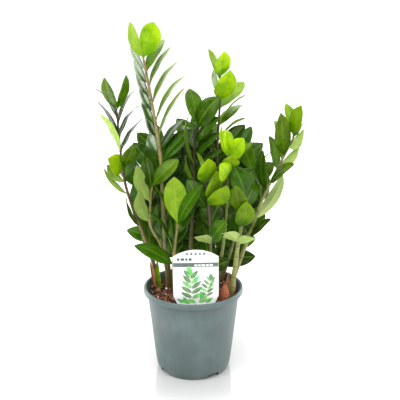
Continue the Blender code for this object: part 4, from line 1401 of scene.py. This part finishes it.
def build_print():
    """Generic print: five dots, a row of dashes, a band and a picture of two fronds."""
    inks = [
        ink_material("ink_band", srgb(76, 90, 84), srgb(92, 104, 98)),
        ink_material("ink_deep_green", srgb(20, 84, 66), srgb(34, 98, 78)),
        ink_material("ink_leaf_dark", srgb(58, 106, 62), srgb(104, 150, 98)),
        ink_material("ink_leaf_fresh", srgb(84, 176, 84), srgb(128, 214, 118)),
        ink_material("ink_pale_stalk", srgb(206, 216, 150), srgb(224, 230, 176)),
        ink_material("ink_pale_dash", srgb(214, 222, 218), srgb(236, 240, 238)),
    ]
    mesh = Mesh()
    print_bar(mesh, -CARD_HALF + 0.0002, CARD_HALF - 0.0002, BAND_ROW, PRINT_LIFT, 0)
    for i in range(5):
        outline = [(u - 0.0137 + i * 0.0069, v + DOT_HEIGHT) for u, v, _ in circle(DOT_RADIUS, 0.0, 14)]
        flat_patch(mesh, list(reversed(outline)), PRINT_LIFT, 1)
    print_dashes(mesh, -0.0305, (0.0044, 0.0060, 0.0036, 0.0050), 0.0017, DASH_ROW, PRINT_LIFT, 1)
    band_dashes = (0.0050, 0.0036, 0.0060, 0.0044, 0.0052)
    print_dashes(mesh, -0.002, band_dashes, 0.0014, BAND_DASH_ROW, PRINT_LIFT * 2, 5)
    print_frond(mesh, (-0.0065, 0.006), -0.002, 0.043, 5, 0.0215, (3, 2, 2))
    print_frond(mesh, (0.0170, 0.012), 0.009, 0.030, 5, 0.0135, (2, 2, 3))
    for u, angle, size in ((-0.024, 150, 0.014), (-0.018, 120, 0.013), (0.006, 40, 0.018), (0.012, 60, 0.016),
                           (0.019, 35, 0.015), (0.000, 155, 0.015), (0.014, 95, 0.020), (-0.010, 165, 0.018)):
        print_leaf(mesh, u * 0.8, 0.003, math.radians(angle), size, size * 0.42, 3)
    obj = mesh.build("label_print", inks)
    place_piece(obj, None)


# ---------------------------------------------------------------- rhizome

def build_rhizome(material):
    """The bulging top of the tuber: an egg with ridges and ring scars."""
    low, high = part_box("rhizome_tip")
    centre, half = (low + high) / 2, (high - low) / 2
    work = bmesh.new()
    bmesh.ops.create_uvsphere(work, u_segments=72, v_segments=52, radius=1.0)
    for vert in work.verts:
        narrow = 1.0 - 0.35 * max(vert.co.z, 0.0)
        angle = math.atan2(vert.co.y, vert.co.x)
        ridge = 1 + 0.022 * math.sin(angle * 9 + vert.co.z * 3) + 0.030 * noise.noise(vert.co * 3.0)
        ring = 1 - 0.025 * max(0.0, math.sin(vert.co.z * 13)) ** 6
        scale = narrow * ridge * ring * 0.97
        vert.co = Vector((vert.co.x * half.x * scale, vert.co.y * half.y * scale, vert.co.z * half.z * 0.99))
    bmesh.ops.translate(work, verts=work.verts, vec=centre)
    mesh = mesh_from(work, "rhizome_fine", material)
    mesh.shade_smooth()
    place_piece(new_object("rhizome_fine", mesh), "rhizome_tip")


# ---------------------------------------------------------------- stage, light and camera

CAMERA_DIP = 17.18


def build_stage():
    """A floor that runs far past the view."""
    work = bmesh.new()
    bmesh.ops.create_grid(work, x_segments=8, y_segments=8, size=30.0)
    new_object("floor", mesh_from(work, "floor", floor_material()))


def soft_light(name, place, target, size, power):
    """A square window of light, aimed at a point."""
    light = bpy.data.lights.new(name, "AREA")
    light.shape = "SQUARE"
    light.size = size
    light.energy = power
    obj = new_object(name, light)
    obj.location = place
    obj.rotation_euler = (Vector(target) - Vector(place)).to_track_quat("-Z", "Y").to_euler()


def soft_sun(name, source, spread_angle, strength):
    """Even light from one side of the sky, with a wide disc for soft shadows."""
    light = bpy.data.lights.new(name, "SUN")
    light.angle = math.radians(spread_angle)
    light.energy = strength
    new_object(name, light).rotation_euler = Vector(source).to_track_quat("Z", "Y").to_euler()


def build_light():
    """A white studio: it shows white to the camera, lights softly and shines a little in gloss."""
    world = bpy.data.worlds.new("studio")
    bpy.context.scene.world = world
    world.use_nodes = True
    nodes = Nodes(world.node_tree)
    seen = nodes.add("ShaderNodeLightPath", output="Is Camera Ray")
    mirrored = nodes.add("ShaderNodeLightPath", output="Is Glossy Ray")
    nodes.fill(world.node_tree.nodes["Background"], {
        "Color": (1.0, 1.0, 1.0, 1.0),
        "Strength": seen * 0.86 + mirrored * 0.20 + 0.19,
    })
    soft_sun("key_sun", (-0.25, -0.90, 1.4), 60.0, 2.1)
    soft_sun("top_sun", (0.15, 0.15, 1.5), 110.0, 1.6)
    soft_light("window_left", (-1.3, -0.9, 1.3), (0.0, 0.0, 0.30), 1.0, 14.0)
    soft_light("window_right", (1.3, -0.7, 1.0), (0.0, 0.0, 0.30), 0.9, 9.0)
    soft_light("back_card", (0.0, 2.4, 0.9), (0.0, 0.0, 0.2), 2.6, 36.0)
    soft_light("edge_left", (-1.2, 0.7, 0.30), (0.0, 0.0, 0.15), 0.7, 11.0)
    soft_light("edge_right", (1.2, 0.7, 0.30), (0.0, 0.0, 0.15), 0.7, 11.0)


def build_camera():
    """The photograph's view: level from the front, a little above the leaves."""
    camera = bpy.data.cameras.new("camera")
    camera.sensor_width = 36.0
    camera.lens = 72.9
    obj = new_object("camera", camera)
    obj.location = (0.0115, -1.286, 0.70)
    obj.rotation_euler = (math.radians(90.0 - CAMERA_DIP), 0.0, 0.0)
    bpy.context.scene.camera = obj


def main():
    bpy.context.scene.view_settings.view_transform = "Standard"
    build_camera()
    build_stage()
    build_light()
    leaf_top = leaf_material("leaf_upper", True)
    leaf_under = leaf_material("leaf_under", False)
    build_fronds([leaf_top, leaf_under, stem_material()])
    papery = skin_material("papery_sheath", srgb(206, 148, 96), srgb(150, 84, 44), 0.8)
    build_blades([leaf_top, leaf_under], papery)
    build_pot()
    bark = [srgb(44, 24, 16), srgb(104, 58, 36), srgb(140, 84, 56), srgb(176, 118, 84), srgb(96, 62, 44)]
    fines = [srgb(30, 18, 12), srgb(70, 40, 26), srgb(96, 58, 38)]
    build_soil(crumb_material("soil_fines", fines, 0.95, 0.0012))
    scatter_bits("bark_chips", BARK_COUNT, 11, (0.0016, 0.0062), (0.22, 0.5),
                 crumb_material("bark", bark, 0.9, 0.0008), 0.55, (0.3, 1.2))
    pale = [srgb(196, 172, 128), srgb(232, 214, 170), srgb(244, 238, 220), srgb(250, 248, 242)]
    scatter_bits("perlite_bits", PERLITE_COUNT, 12, (0.0010, 0.0026), (0.7, 1.0),
                 crumb_material("perlite", pale, 0.85, 0.0005), 0.45, (0.9, 2.4))
    build_rhizome(skin_material("tuber_skin", srgb(186, 106, 66), srgb(118, 58, 34), 0.7))
    build_label(card_material())
    build_print()


main()
